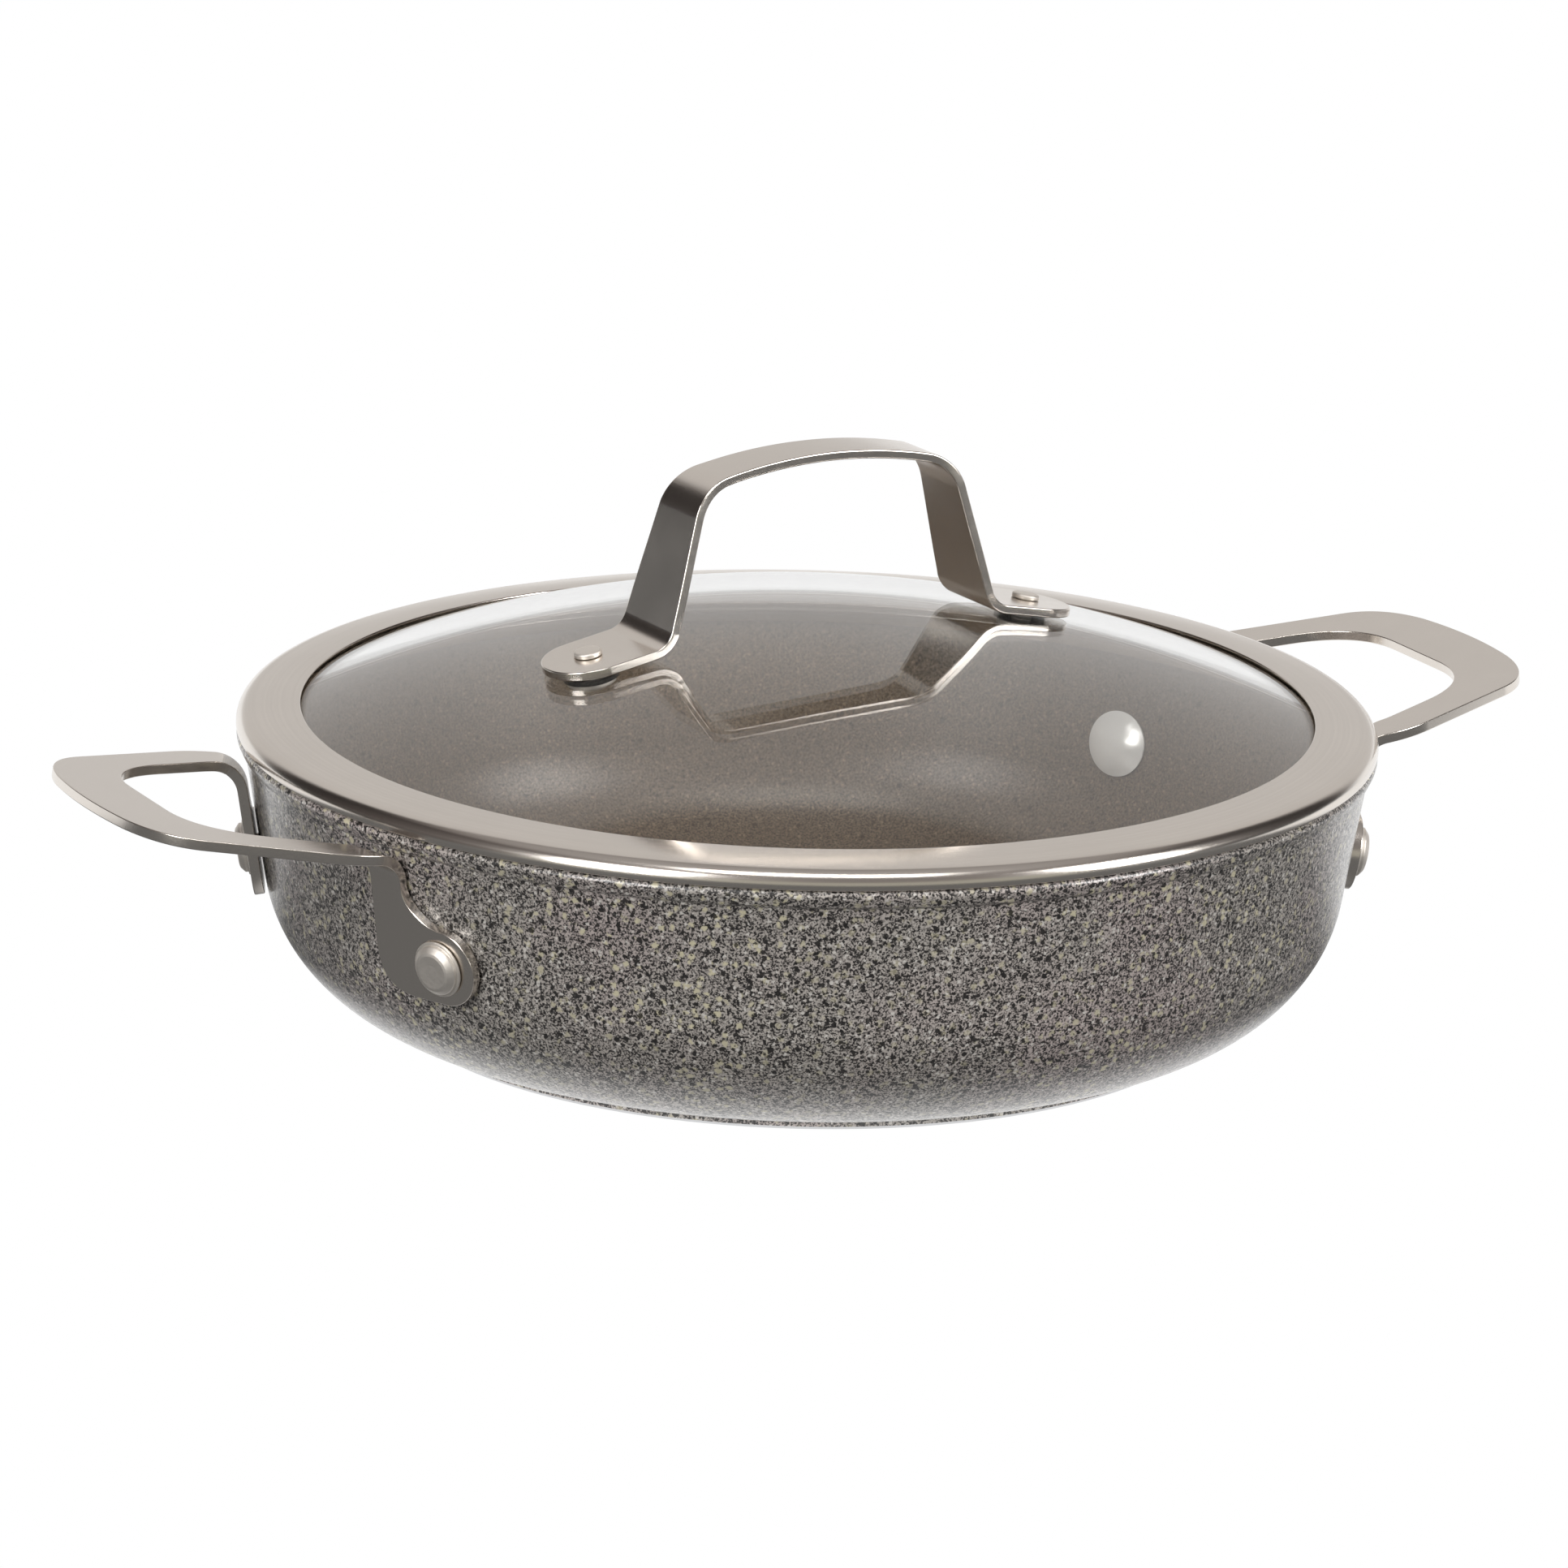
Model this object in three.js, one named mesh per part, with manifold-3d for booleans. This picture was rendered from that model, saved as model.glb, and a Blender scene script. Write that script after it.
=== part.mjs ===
// Serving pan with a glass lid: speckled aluminium pan, two riveted steel loop handles,
// and a domed glass lid in a rolled steel band with a riveted strap handle.
// Millimetres, +Z up. The origin is on the pan's axis, on the surface the pan stands on.
// The side handles lie along X.
import * as THREE from 'three';
import { mergeVertices } from 'three/addons/utils/BufferGeometryUtils.js';
import Module from 'manifold-3d';

const degrees = THREE.MathUtils.degToRad;

// Steps round a full turn, and along a bend or a rounded corner
const turnSteps = 56;
const rivetSteps = 16;
const bendSteps = 6;
const cornerSteps = 5;
const domeSteps = 8;

// Pan
const panHeight = 70.7;
const footInset = 38.5;
const footEdge = 0.8;
const cornerRadius = 37.9;
const cornerBottom = 1.75;
const wallLean = degrees(9);
const wallThickness = 3.2;
const floorThickness = 5;
const innerCornerRadius = 33;
const lipRadius = 142.3;
const lipOverhang = 2.5;
const lipDepth = 3.9;
const lipTaper = 1.5;
const lipStep = 0.8;
const lipRound = 0.9;
const mouthRound = 1.5;
const hubRadius = 21;
const ringRadius = 62;
const ringWidth = 3;
const ringDepth = 0.6;

// Side handles: one steel plate each, bent down to two tabs on the wall. Reaches start at the lip
const handlePlate = 2.6;
const handleTilt = degrees(8);
const handleHeight = 67.5;
const handleReach = 52.9;
const gripDepth = 16.9;
const gripBow = 141;
const gripHalfWidth = 35;
const shoulderReach = 0.7;
const shoulderHalfWidth = 50.8;
const legWidth = 10.9;
const outerCorner = 15;
const innerCorner = 18;
const bendInside = 7;
const tabGap = 0.3;
const tabLobe = 9.5;
const tabReach = 1;
const tabHeel = 11.5;
const tabNeck = 3.5;
const tabTurn = 14;
const stripOffset = 10.2;
const stripWidth = 9.3;

// Rivets that hold the side handles
const rivetAngle = degrees(23.6);
const rivetHeight = 40;
const shankRadius = 3;
const headRadius = 6.3;
const headHeight = 2.7;
const headRound = 1.3;
const collarRadius = 7;
const collarHeight = 0.6;
const domeRadius = 8.8;
const domeHeight = 3;
const domeEdge = 0.7;
const rivetFit = 0.3;

// Lid: steel band and glass
const lidTurn = degrees(3.4);
const seatGap = 0.2;
const bandInset = 0.3;
const bandWidth = 15.9;
const bandSheet = 0.9;
const bandRise = 1.3;
const bandCorner = 3.9;
const bandCurl = 0.6;
const skirtStraight = 0.1;
const flangeDepth = 6;
const lidPlay = 1.2;
const brimSetback = 2.8;
const glassThickness = 4;
const glassDome = 340;
const glassBrim = 5;
const glassEdge = 0.5;
const glassFit = 0.3;

// Lid handle and what clamps it to the glass
const strapThickness = 2.3;
const strapReach = 62.8;
const strapFootHalfWidth = 11.7;
const strapNeckStart = 47;
const strapNeckPull = 5.5;
const strapNeckEnd = 24;
const strapNarrowPull = 14.5;
const strapNarrowHalfWidth = 7.3;
const strapTopHalfWidth = 7;
const strapLegReach = 46.5;
const strapLegLean = degrees(15.5);
const strapTopHeight = 143;
const strapArch = 135;
const strapFootBend = 7;
const strapTopBend = 12;
const gasketThickness = 0.4;
const gasketRadius = 6;
const sealThickness = 1;
const sealRadius = 7;
const washerThickness = 1;
const washerRadius = 6;
const lidShankRadius = 2.5;
const lidHeadRadius = 3.5;
const lidHeadHeight = 1.2;
const lidEndRadius = 4;
const lidEndHeight = 1;
const stackGap = 0.2;

const speckledCoating = new THREE.MeshStandardMaterial({ color: 0x6e6969, roughness: 0.55, metalness: 0.1 });
const satinSteel = new THREE.MeshStandardMaterial({ color: 0xbbb2aa, roughness: 0.28, metalness: 1 });
const rivetSteel = new THREE.MeshStandardMaterial({ color: 0xc4bdb2, roughness: 0.35, metalness: 1 });
const clearGlass = new THREE.MeshStandardMaterial({
  color: 0xdfe6e2, roughness: 0.03, metalness: 0, transparent: true, opacity: 0.35,
});
const darkSilicone = new THREE.MeshStandardMaterial({ color: 0x26241f, roughness: 0.7, metalness: 0 });

const wasm = await Module();
wasm.setup();

const point = (x, y) => new THREE.Vector2(x, y);

// Points along an arc, both ends included
function arcPoints(centreX, centreY, radius, from, to, steps) {
  const points = [];
  for (let step = 0; step <= steps; step += 1) {
    const angle = from + ((to - from) * step) / steps;
    points.push(point(centreX + radius * Math.cos(angle), centreY + radius * Math.sin(angle)));
  }
  return points;
}

// Solid of revolution about Z from a profile of (radius, height) points
function turned(profile, steps) {
  const geometry = new THREE.LatheGeometry(profile, steps);
  geometry.rotateX(Math.PI / 2);
  return geometry;
}

// Flat ring about Z with a round hole
function ring(hole, radius, bottom, top, steps) {
  const section = [point(hole, bottom), point(radius, bottom), point(radius, top), point(hole, top)];
  return turned([...section, section[0]], steps);
}

// Flat plate from an outline, its faces at two heights
function plate(outline, bottom, top) {
  const geometry = new THREE.ExtrudeGeometry(outline, { depth: top - bottom, bevelEnabled: false });
  geometry.translate(0, 0, bottom);
  return geometry;
}

// Round bar along Z, for cutting holes
function bar(radius, bottom, top) {
  const geometry = new THREE.CylinderGeometry(radius, radius, top - bottom, rivetSteps);
  geometry.rotateX(Math.PI / 2);
  geometry.translate(0, 0, (bottom + top) / 2);
  return geometry;
}

// Closed solid for cutting and joining, from positions alone
function solidOf(geometry) {
  const bare = new THREE.BufferGeometry();
  bare.setAttribute('position', geometry.getAttribute('position').clone());
  bare.setIndex(geometry.getIndex());
  const merged = mergeVertices(bare, 1e-4);
  const corners = merged.getIndex().array;
  const triangles = [];
  for (let first = 0; first < corners.length; first += 3) {
    const [a, b, c] = corners.slice(first, first + 3);
    if (a !== b && b !== c && c !== a) {
      triangles.push(a, b, c);
    }
  }
  return new wasm.Manifold(new wasm.Mesh({
    numProp: 3,
    vertProperties: new Float32Array(merged.getAttribute('position').array),
    triVerts: new Uint32Array(triangles),
  }));
}

function geometryOf(solid) {
  const mesh = solid.getMesh();
  const geometry = new THREE.BufferGeometry();
  geometry.setAttribute('position', new THREE.BufferAttribute(new Float32Array(mesh.vertProperties), 3));
  geometry.setIndex(Array.from(mesh.triVerts));
  geometry.computeVertexNormals();
  return geometry;
}

function named(name, geometry, material) {
  const mesh = new THREE.Mesh(geometry, material);
  mesh.name = name;
  return mesh;
}

// Pan wall below the lip, outside and inside
const wallTopHeight = panHeight - lipDepth - lipStep;
const wallTopRadius = lipRadius - lipOverhang;
const footRadius = lipRadius - footInset;
const wallRadiusAt = (height) => wallTopRadius - Math.tan(wallLean) * (wallTopHeight - height);
const mouthRadiusAt = (height) => wallRadiusAt(height) - wallThickness / Math.cos(wallLean);

// Round corner, tangent to the leaning wall and to a level floor, from lowest to highest
function cornerArc(wallRadius, floorHeight, radius, steps, firstRadius) {
  const centreHeight = floorHeight + radius;
  const touchHeight = centreHeight - radius * Math.sin(wallLean);
  const centreRadius = wallRadius(touchHeight) - radius * Math.cos(wallLean);
  const first = firstRadius === undefined ? -Math.PI / 2 : -Math.acos((firstRadius - centreRadius) / radius);
  return arcPoints(centreRadius, centreHeight, radius, first, -wallLean, steps);
}

function panProfile() {
  return [
    point(0, ringDepth),
    point(hubRadius - ringDepth, ringDepth),
    point(hubRadius, 0),
    point(ringRadius - ringWidth / 2, 0),
    point(ringRadius - ringWidth / 2 + ringDepth, ringDepth),
    point(ringRadius + ringWidth / 2 - ringDepth, ringDepth),
    point(ringRadius + ringWidth / 2, 0),
    point(footRadius - footEdge, 0),
    point(footRadius, footEdge),
    ...cornerArc(wallRadiusAt, cornerBottom, cornerRadius, 8, footRadius),
    point(wallTopRadius, wallTopHeight),
    point(lipRadius - lipTaper, panHeight - lipDepth),
    point(lipRadius, panHeight - lipRound),
    point(lipRadius - lipRound, panHeight),
    point(mouthRadiusAt(panHeight) + mouthRound, panHeight),
    point(mouthRadiusAt(panHeight - mouthRound), panHeight - mouthRound),
    ...cornerArc(mouthRadiusAt, floorThickness, innerCornerRadius, 6).reverse(),
    point(0, floorThickness),
  ];
}

// Frame of the wall at a rivet: x along the wall, y up the wall, z straight out of it
function wallFrame(angle) {
  const out = new THREE.Vector3(
    Math.cos(angle) * Math.cos(wallLean),
    Math.sin(angle) * Math.cos(wallLean),
    -Math.sin(wallLean),
  );
  const along = new THREE.Vector3(-Math.sin(angle), Math.cos(angle), 0);
  const up = new THREE.Vector3().crossVectors(out, along);
  const radius = wallRadiusAt(rivetHeight);
  return new THREE.Matrix4()
    .makeBasis(along, up, out)
    .setPosition(radius * Math.cos(angle), radius * Math.sin(angle), rivetHeight);
}

const rivetAngles = {
  right_back: rivetAngle,
  right_front: -rivetAngle,
  left_front: Math.PI + rivetAngle,
  left_back: Math.PI - rivetAngle,
};

function panBody() {
  let body = solidOf(turned(panProfile(), turnSteps));
  for (const angle of Object.values(rivetAngles)) {
    const hole = bar(shankRadius + rivetFit, -3 * wallThickness, 3 * wallThickness);
    body = body.subtract(solidOf(hole.applyMatrix4(wallFrame(angle))));
  }
  return geometryOf(body);
}

// Plate of a side handle in its own frame: x outward from the pan's axis, y across, top face at z = 0
const plateFrame = new THREE.Matrix4()
  .makeTranslation(lipRadius, 0, handleHeight)
  .multiply(new THREE.Matrix4().makeRotationY(-handleTilt))
  .multiply(new THREE.Matrix4().makeTranslation(-lipRadius, 0, 0));
const plateUp = new THREE.Vector3(-Math.sin(handleTilt), 0, Math.cos(handleTilt));
const bendOutside = bendInside + handlePlate;

// Bend between the plate and the tab at one rivet
function bendAt(angle) {
  const frame = wallFrame(angle);
  const toWall = new THREE.Vector3().setFromMatrixColumn(frame, 2).negate();
  const wallPoint = new THREE.Vector3().setFromMatrixPosition(frame);
  const platePoint = new THREE.Vector3(lipRadius, 0, handleHeight);
  const axis = new THREE.Vector3().crossVectors(plateUp, toWall);
  const sweep = Math.atan2(axis.length(), plateUp.dot(toWall));
  axis.normalize();
  const distances = new THREE.Matrix3().set(
    plateUp.x, plateUp.y, plateUp.z,
    toWall.x, toWall.y, toWall.z,
    axis.x, axis.y, axis.z,
  );
  const centre = new THREE.Vector3(
    plateUp.dot(platePoint) - bendOutside,
    toWall.dot(wallPoint) - tabGap - bendOutside,
    axis.dot(wallPoint),
  ).applyMatrix3(distances.invert());
  const towardsWall = new THREE.Vector3().crossVectors(axis, plateUp);
  const section = new THREE.Matrix4().makeBasis(plateUp, towardsWall, axis).setPosition(centre);
  const tabTop = centre.clone().applyMatrix4(frame.clone().invert()).y;
  return { frame, section, sweep, tabTop };
}

// Sheet through a bend: a flat arm in the plate's plane, the bend, and a flat arm down the wall
function bentSheet(bend, plateArm, tabArm, halfWidth) {
  const cos = Math.cos(bend.sweep);
  const sin = Math.sin(bend.sweep);
  const armEnd = (radius) => point(radius * cos - tabArm * sin, radius * sin + tabArm * cos);
  const outline = new THREE.Shape([
    point(bendInside, -plateArm),
    point(bendOutside, -plateArm),
    ...arcPoints(0, 0, bendOutside, 0, bend.sweep, bendSteps),
    armEnd(bendOutside),
    armEnd(bendInside),
    ...arcPoints(0, 0, bendInside, bend.sweep, 0, bendSteps),
  ]);
  return plate(outline, -halfWidth, halfWidth).applyMatrix4(bend.section);
}

// Straight edges of a leg, and where the edges of the tab's strip meet the bend, seen from above
const handleTip = lipRadius + handleReach;
const shoulder = lipRadius + shoulderReach;
const sideSlope = Math.atan2(shoulderHalfWidth - gripHalfWidth, handleReach - shoulderReach);
const outerEdgeAt = (x) => shoulderHalfWidth - Math.tan(sideSlope) * (x - shoulder);
const innerEdgeAt = (x) => outerEdgeAt(x) - legWidth / Math.cos(sideSlope);
const stripInner = stripOffset + stripWidth;
function stripSpot(along) {
  const bend = bendAt(rivetAngle);
  const spot = new THREE.Vector3(-along, bend.tabTop, tabGap + handlePlate / 2);
  return spot.applyMatrix4(bend.frame).applyMatrix4(plateFrame.clone().invert());
}

// Start of an edge of the loop: straight out through the wall side of the bend
function rootEdge(along, side) {
  const spot = stripSpot(along);
  const edge = new THREE.Path();
  const inward = point(Math.cos(rivetAngle), Math.sin(rivetAngle)).multiplyScalar(bendOutside);
  edge.moveTo(spot.x - inward.x, side * (spot.y - inward.y));
  edge.lineTo(spot.x, side * spot.y);
  return edge;
}

// Half of the loop's outer edge, from the root of a leg to the middle of the tip; side is +1 or -1
const gripBowAt = (y) => gripBow - Math.sqrt(gripBow ** 2 - y ** 2);
function outerHalf(side) {
  const root = stripSpot(stripOffset);
  const rise = Math.sin(rivetAngle) + Math.tan(sideSlope) * Math.cos(rivetAngle);
  const run = (outerEdgeAt(root.x) - root.y) / rise;
  const turnX = root.x + run * Math.cos(rivetAngle);
  const turnEnd = turnX + run * Math.cos(sideSlope);
  const cornerX = handleTip - outerCorner;
  const tipY = gripHalfWidth - outerCorner;
  const squareX = handleTip - gripBowAt(gripHalfWidth);
  const edge = rootEdge(stripOffset, side);
  edge.quadraticCurveTo(turnX, side * outerEdgeAt(turnX), turnEnd, side * outerEdgeAt(turnEnd));
  edge.lineTo(cornerX, side * outerEdgeAt(cornerX));
  edge.quadraticCurveTo(squareX, side * outerEdgeAt(squareX), handleTip - gripBowAt(tipY), side * tipY);
  edge.quadraticCurveTo(handleTip, (side * tipY) / 2, handleTip, 0);
  return edge.getPoints(cornerSteps);
}

// Half of the finger gap's edge, from the root of a leg to the tip
function innerHalf(side) {
  const tipX = handleTip - gripDepth;
  const cornerX = tipX - innerCorner;
  const root = stripSpot(stripInner).x;
  const rootEnd = (root + cornerX) / 2;
  const turnX = (root + rootEnd) / 2;
  const edge = rootEdge(stripInner, side);
  edge.quadraticCurveTo(turnX, side * innerEdgeAt(turnX), rootEnd, side * innerEdgeAt(rootEnd));
  edge.lineTo(cornerX, side * innerEdgeAt(cornerX));
  edge.quadraticCurveTo(tipX, side * innerEdgeAt(tipX), tipX, side * (innerEdgeAt(tipX) - innerCorner));
  return edge.getPoints(cornerSteps);
}

// Boot-shaped tab: a strip down from the leg and a round lobe past the rivet; side is +1 or -1
function tabOutline(bend, side) {
  const top = bend.tabTop + tabGap;
  const boot = new THREE.Path();
  boot.moveTo(tabReach, -tabLobe);
  boot.absarc(tabReach, 0, tabLobe, -Math.PI / 2, Math.PI / 2, false);
  boot.bezierCurveTo(-tabNeck, tabLobe, -stripOffset, tabTurn, -stripOffset, top);
  boot.lineTo(-stripInner, top);
  boot.lineTo(-stripInner, tabHeel - tabLobe);
  boot.quadraticCurveTo(-stripInner, -tabLobe, tabHeel - stripInner, -tabLobe);
  return new THREE.Shape(boot.getPoints(cornerSteps).map((spot) => point(side * spot.x, spot.y)));
}

// One side handle on the +X side: bent sheet, trimmed to the loop and to the two boots
function sideHandle() {
  const loop = new THREE.Shape([
    ...outerHalf(-1),
    ...outerHalf(1).reverse().slice(1),
    ...innerHalf(1),
    ...innerHalf(-1).reverse(),
  ]);
  const slabStart = stripSpot(stripInner).x + 2 * bendOutside;
  const slab = new THREE.BoxGeometry(handleTip, 2 * handleTip, handlePlate);
  slab.translate(slabStart + handleTip / 2, 0, -handlePlate / 2);
  let sheet = solidOf(slab.applyMatrix4(plateFrame));
  let trim = solidOf(plate(loop, -bendOutside, bendOutside).applyMatrix4(plateFrame));
  const holes = [];
  for (const side of [1, -1]) {
    const bend = bendAt(side * rivetAngle);
    const tabArm = bend.tabTop + 2 * tabLobe;
    sheet = sheet.add(solidOf(bentSheet(bend, 2 * stripInner, tabArm, 2 * stripInner)));
    const boot = plate(tabOutline(bend, side), 0, tabGap + handlePlate + bendInside);
    trim = trim.add(solidOf(boot.applyMatrix4(bend.frame)));
    const hole = bar(shankRadius + rivetFit, -handlePlate, 3 * handlePlate);
    holes.push(solidOf(hole.applyMatrix4(bend.frame)));
  }
  const handle = holes.reduce((rest, hole) => rest.subtract(hole), sheet.intersect(trim));
  return geometryOf(handle);
}

// Rivet in the wall's frame: coated dome inside the pan, shank, collar and flat head outside
function handleRivet() {
  const mouthSag = domeRadius ** 2 / (2 * mouthRadiusAt(rivetHeight));
  const domeSeat = -wallThickness - mouthSag - rivetFit;
  const headSeat = tabGap + handlePlate + rivetFit;
  const headTop = headSeat + headHeight;
  const capHeight = domeHeight - domeEdge;
  const capRadius = (domeRadius ** 2 + capHeight ** 2) / (2 * capHeight);
  const capAngle = Math.asin(domeRadius / capRadius);
  const capCentre = domeSeat - domeHeight + capRadius;
  const profile = [
    ...arcPoints(0, capCentre, capRadius, -Math.PI / 2, capAngle - Math.PI / 2, 3),
    point(domeRadius, domeSeat),
    point(shankRadius, domeSeat),
    point(shankRadius, headSeat),
    point(collarRadius, headSeat),
    point(collarRadius, headSeat + collarHeight),
    point(headRadius, headSeat + collarHeight),
    ...arcPoints(headRadius - headRound, headTop - headRound, headRound, 0, Math.PI / 2, 2),
    point(0, headTop),
  ];
  return turned(profile, rivetSteps);
}

// Heights of the lid, from the pan's rim up
const seatHeight = panHeight + seatGap;
const bandTop = seatHeight + bandCurl + skirtStraight + bandCorner;
const bandRadius = lipRadius - bandInset;
const bandInnerRadius = bandRadius - bandWidth;
const bandInnerTop = bandTop + bandRise;
const domeDropAt = (radius) => glassDome - Math.sqrt(glassDome ** 2 - radius ** 2);
const glassTop = bandInnerTop - bandSheet - glassFit + domeDropAt(bandInnerRadius);
const domeCentre = glassTop - glassDome;
const brimStart = bandInnerRadius + brimSetback;
const brimRadius = brimStart + glassBrim;
const brimTop = glassTop - domeDropAt(brimStart);
const brimBottom = brimTop - glassThickness;

// Rolled steel band: wide top, rounded skirt, seat, inner flange, and a hook under the glass
function rimBand() {
  const flangeRadius = mouthRadiusAt(panHeight - flangeDepth) - lidPlay;
  const flangeBottom = seatHeight - flangeDepth;
  const cornerX = bandRadius - bandCorner;
  const cornerY = bandTop - bandCorner;
  const innerRound = bandCorner - bandSheet;
  const innerStart = Math.asin((seatHeight + bandSheet - cornerY) / innerRound);
  const hookTop = brimBottom - glassFit;
  const grooveRadius = brimRadius + glassFit;
  const section = [
    point(flangeRadius - bandSheet, flangeBottom),
    point(flangeRadius, flangeBottom),
    point(flangeRadius, seatHeight),
    ...arcPoints(bandRadius - bandCurl, seatHeight + bandCurl, bandCurl, -Math.PI / 2, 0, 1),
    ...arcPoints(cornerX, cornerY, bandCorner, 0, Math.PI / 2, 3),
    point(bandInnerRadius, bandInnerTop),
    point(bandInnerRadius, bandInnerTop - bandSheet),
    ...arcPoints(cornerX, cornerY, innerRound, innerStart, Math.PI / 2, 3).reverse(),
    point(grooveRadius, seatHeight + bandSheet),
    point(grooveRadius, hookTop),
    point(brimStart, hookTop),
    point(brimStart, hookTop - bandSheet),
    point(flangeRadius - bandSheet, hookTop - bandSheet),
  ];
  return turned([...section, section[0]], turnSteps);
}

// Frame of a rivet on the lid: z straight out of the glass; side is +1 or -1
const footSlope = Math.asin(strapReach / glassDome);
function footFrame(side) {
  const height = glassTop - domeDropAt(strapReach);
  return new THREE.Matrix4()
    .makeRotationY(side * footSlope)
    .setPosition(side * strapReach, 0, height);
}

function lidGlass() {
  const underRadius = glassDome - glassThickness;
  const outerAngle = Math.acos(brimStart / glassDome);
  const underAngle = Math.asin((brimBottom - domeCentre) / underRadius);
  const profile = [
    ...arcPoints(0, domeCentre, underRadius, Math.PI / 2, underAngle, domeSteps),
    point(brimRadius - glassEdge, brimBottom),
    point(brimRadius, brimBottom + glassEdge),
    point(brimRadius, brimTop - glassEdge),
    point(brimRadius - glassEdge, brimTop),
    ...arcPoints(0, domeCentre, glassDome, outerAngle, Math.PI / 2, domeSteps),
  ];
  let glass = solidOf(turned(profile, turnSteps));
  for (const side of [1, -1]) {
    const hole = bar(lidShankRadius + rivetFit, -2 * glassThickness, glassThickness);
    glass = glass.subtract(solidOf(hole.applyMatrix4(footFrame(side))));
  }
  return geometryOf(glass);
}

// Lines of the strap's half with x > 0, through the middle of its thickness
const footLift = 2 * stackGap + gasketThickness;
const footMiddle = new THREE.Vector3(0, 0, footLift + strapThickness / 2).applyMatrix4(footFrame(1));
const footLineAt = (x) => footMiddle.z - Math.tan(footSlope) * (x - footMiddle.x);
const footNormal = point(Math.sin(footSlope), Math.cos(footSlope));
const legNormal = point(Math.cos(strapLegLean), Math.sin(strapLegLean));
const legDirection = point(-Math.sin(strapLegLean), Math.cos(strapLegLean));
const legFoot = point(strapLegReach, footLineAt(strapLegReach));
const archCentre = strapTopHeight - strapThickness / 2 - strapArch;

// Centre of the bend between foot and leg, on their outer side
function footBendCentre() {
  const scale = strapFootBend / (1 + footNormal.dot(legNormal));
  return legFoot.clone().addScaledVector(footNormal, scale).addScaledVector(legNormal, scale);
}

// Centre of the bend between leg and arch, on their inner side
function topBendCentre() {
  const start = legFoot.clone().addScaledVector(legNormal, -strapTopBend);
  const fromArch = start.clone().sub(point(0, archCentre));
  const along = fromArch.dot(legDirection);
  const reach = Math.sqrt(along ** 2 + (strapArch - strapTopBend) ** 2 - fromArch.lengthSq());
  return start.addScaledVector(legDirection, reach - along);
}

// Half of one face of the strap, from past the foot's end to the top; lift is outward from the middle
function strapFace(lift) {
  const low = footBendCentre();
  const high = topBendCentre();
  const archAngle = Math.atan2(high.y - archCentre, high.x);
  const footEnd = footMiddle.x + 2 * strapFootHalfWidth;
  const lowFrom = -Math.PI / 2 - footSlope;
  const lowTo = strapLegLean - Math.PI;
  return [
    point(footEnd, footLineAt(footEnd)).addScaledVector(footNormal, lift),
    ...arcPoints(low.x, low.y, strapFootBend - lift, lowFrom, lowTo, cornerSteps),
    ...arcPoints(high.x, high.y, strapTopBend + lift, strapLegLean, archAngle, cornerSteps),
    ...arcPoints(0, archCentre, strapArch + lift, archAngle, Math.PI / 2, cornerSteps).slice(1),
  ];
}

const mirrored = (points) => points.map((spot) => point(-spot.x, spot.y));

// Half of the strap's outline seen from above, from the middle of the foot's end to the middle of the strap
function strapPlanHalf() {
  const edge = new THREE.Path();
  edge.moveTo(footMiddle.x + strapFootHalfWidth, 0);
  edge.absarc(footMiddle.x, 0, strapFootHalfWidth, 0, Math.PI / 2, false);
  edge.lineTo(strapNeckStart, strapFootHalfWidth);
  edge.bezierCurveTo(
    strapNeckStart - strapNeckPull, strapFootHalfWidth,
    strapNeckEnd + strapNarrowPull, strapNarrowHalfWidth,
    strapNeckEnd, strapNarrowHalfWidth,
  );
  edge.lineTo(0, strapTopHalfWidth);
  return edge.getPoints(2 * cornerSteps);
}

function lidHandle() {
  const outer = strapFace(strapThickness / 2);
  const inner = strapFace(-strapThickness / 2);
  const side = new THREE.Shape([
    ...outer,
    ...mirrored(outer).reverse().slice(1),
    ...mirrored(inner),
    ...inner.reverse().slice(1),
  ]);
  const ribbon = plate(side, -2 * strapFootHalfWidth, 2 * strapFootHalfWidth).rotateX(Math.PI / 2);
  const back = strapPlanHalf();
  const front = back.map((spot) => point(spot.x, -spot.y)).reverse();
  const plan = new THREE.Shape([
    ...back,
    ...mirrored(back).reverse().slice(1),
    ...mirrored(front).reverse().slice(1),
    ...front.slice(1, -1),
  ]);
  let strap = solidOf(ribbon).intersect(solidOf(plate(plan, 0, 2 * strapTopHeight)));
  for (const end of [1, -1]) {
    const hole = bar(lidShankRadius + rivetFit, -glassThickness, 3 * glassThickness);
    strap = strap.subtract(solidOf(hole.applyMatrix4(footFrame(end))));
  }
  return geometryOf(strap);
}

// Rivet through the lid handle's foot, gasket, glass, seal and washer, in the foot's frame
const sealTop = -glassThickness - stackGap;
const washerTop = sealTop - sealThickness - stackGap;
const endTop = washerTop - washerThickness - stackGap;
function lidRivet() {
  const headSeat = footLift + strapThickness + stackGap;
  const headTop = headSeat + lidHeadHeight;
  const round = lidHeadHeight / 2;
  return turned([
    point(0, endTop - lidEndHeight),
    point(lidEndRadius - lidEndHeight / 2, endTop - lidEndHeight),
    point(lidEndRadius, endTop - lidEndHeight / 2),
    point(lidEndRadius, endTop),
    point(lidShankRadius, endTop),
    point(lidShankRadius, headSeat),
    point(lidHeadRadius, headSeat),
    ...arcPoints(lidHeadRadius - round, headTop - round, round, 0, Math.PI / 2, 2),
    point(0, headTop),
  ], rivetSteps);
}

const servingPan = new THREE.Group();
servingPan.name = 'serving_pan';
servingPan.add(named('pan_body', panBody(), speckledCoating));

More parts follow.
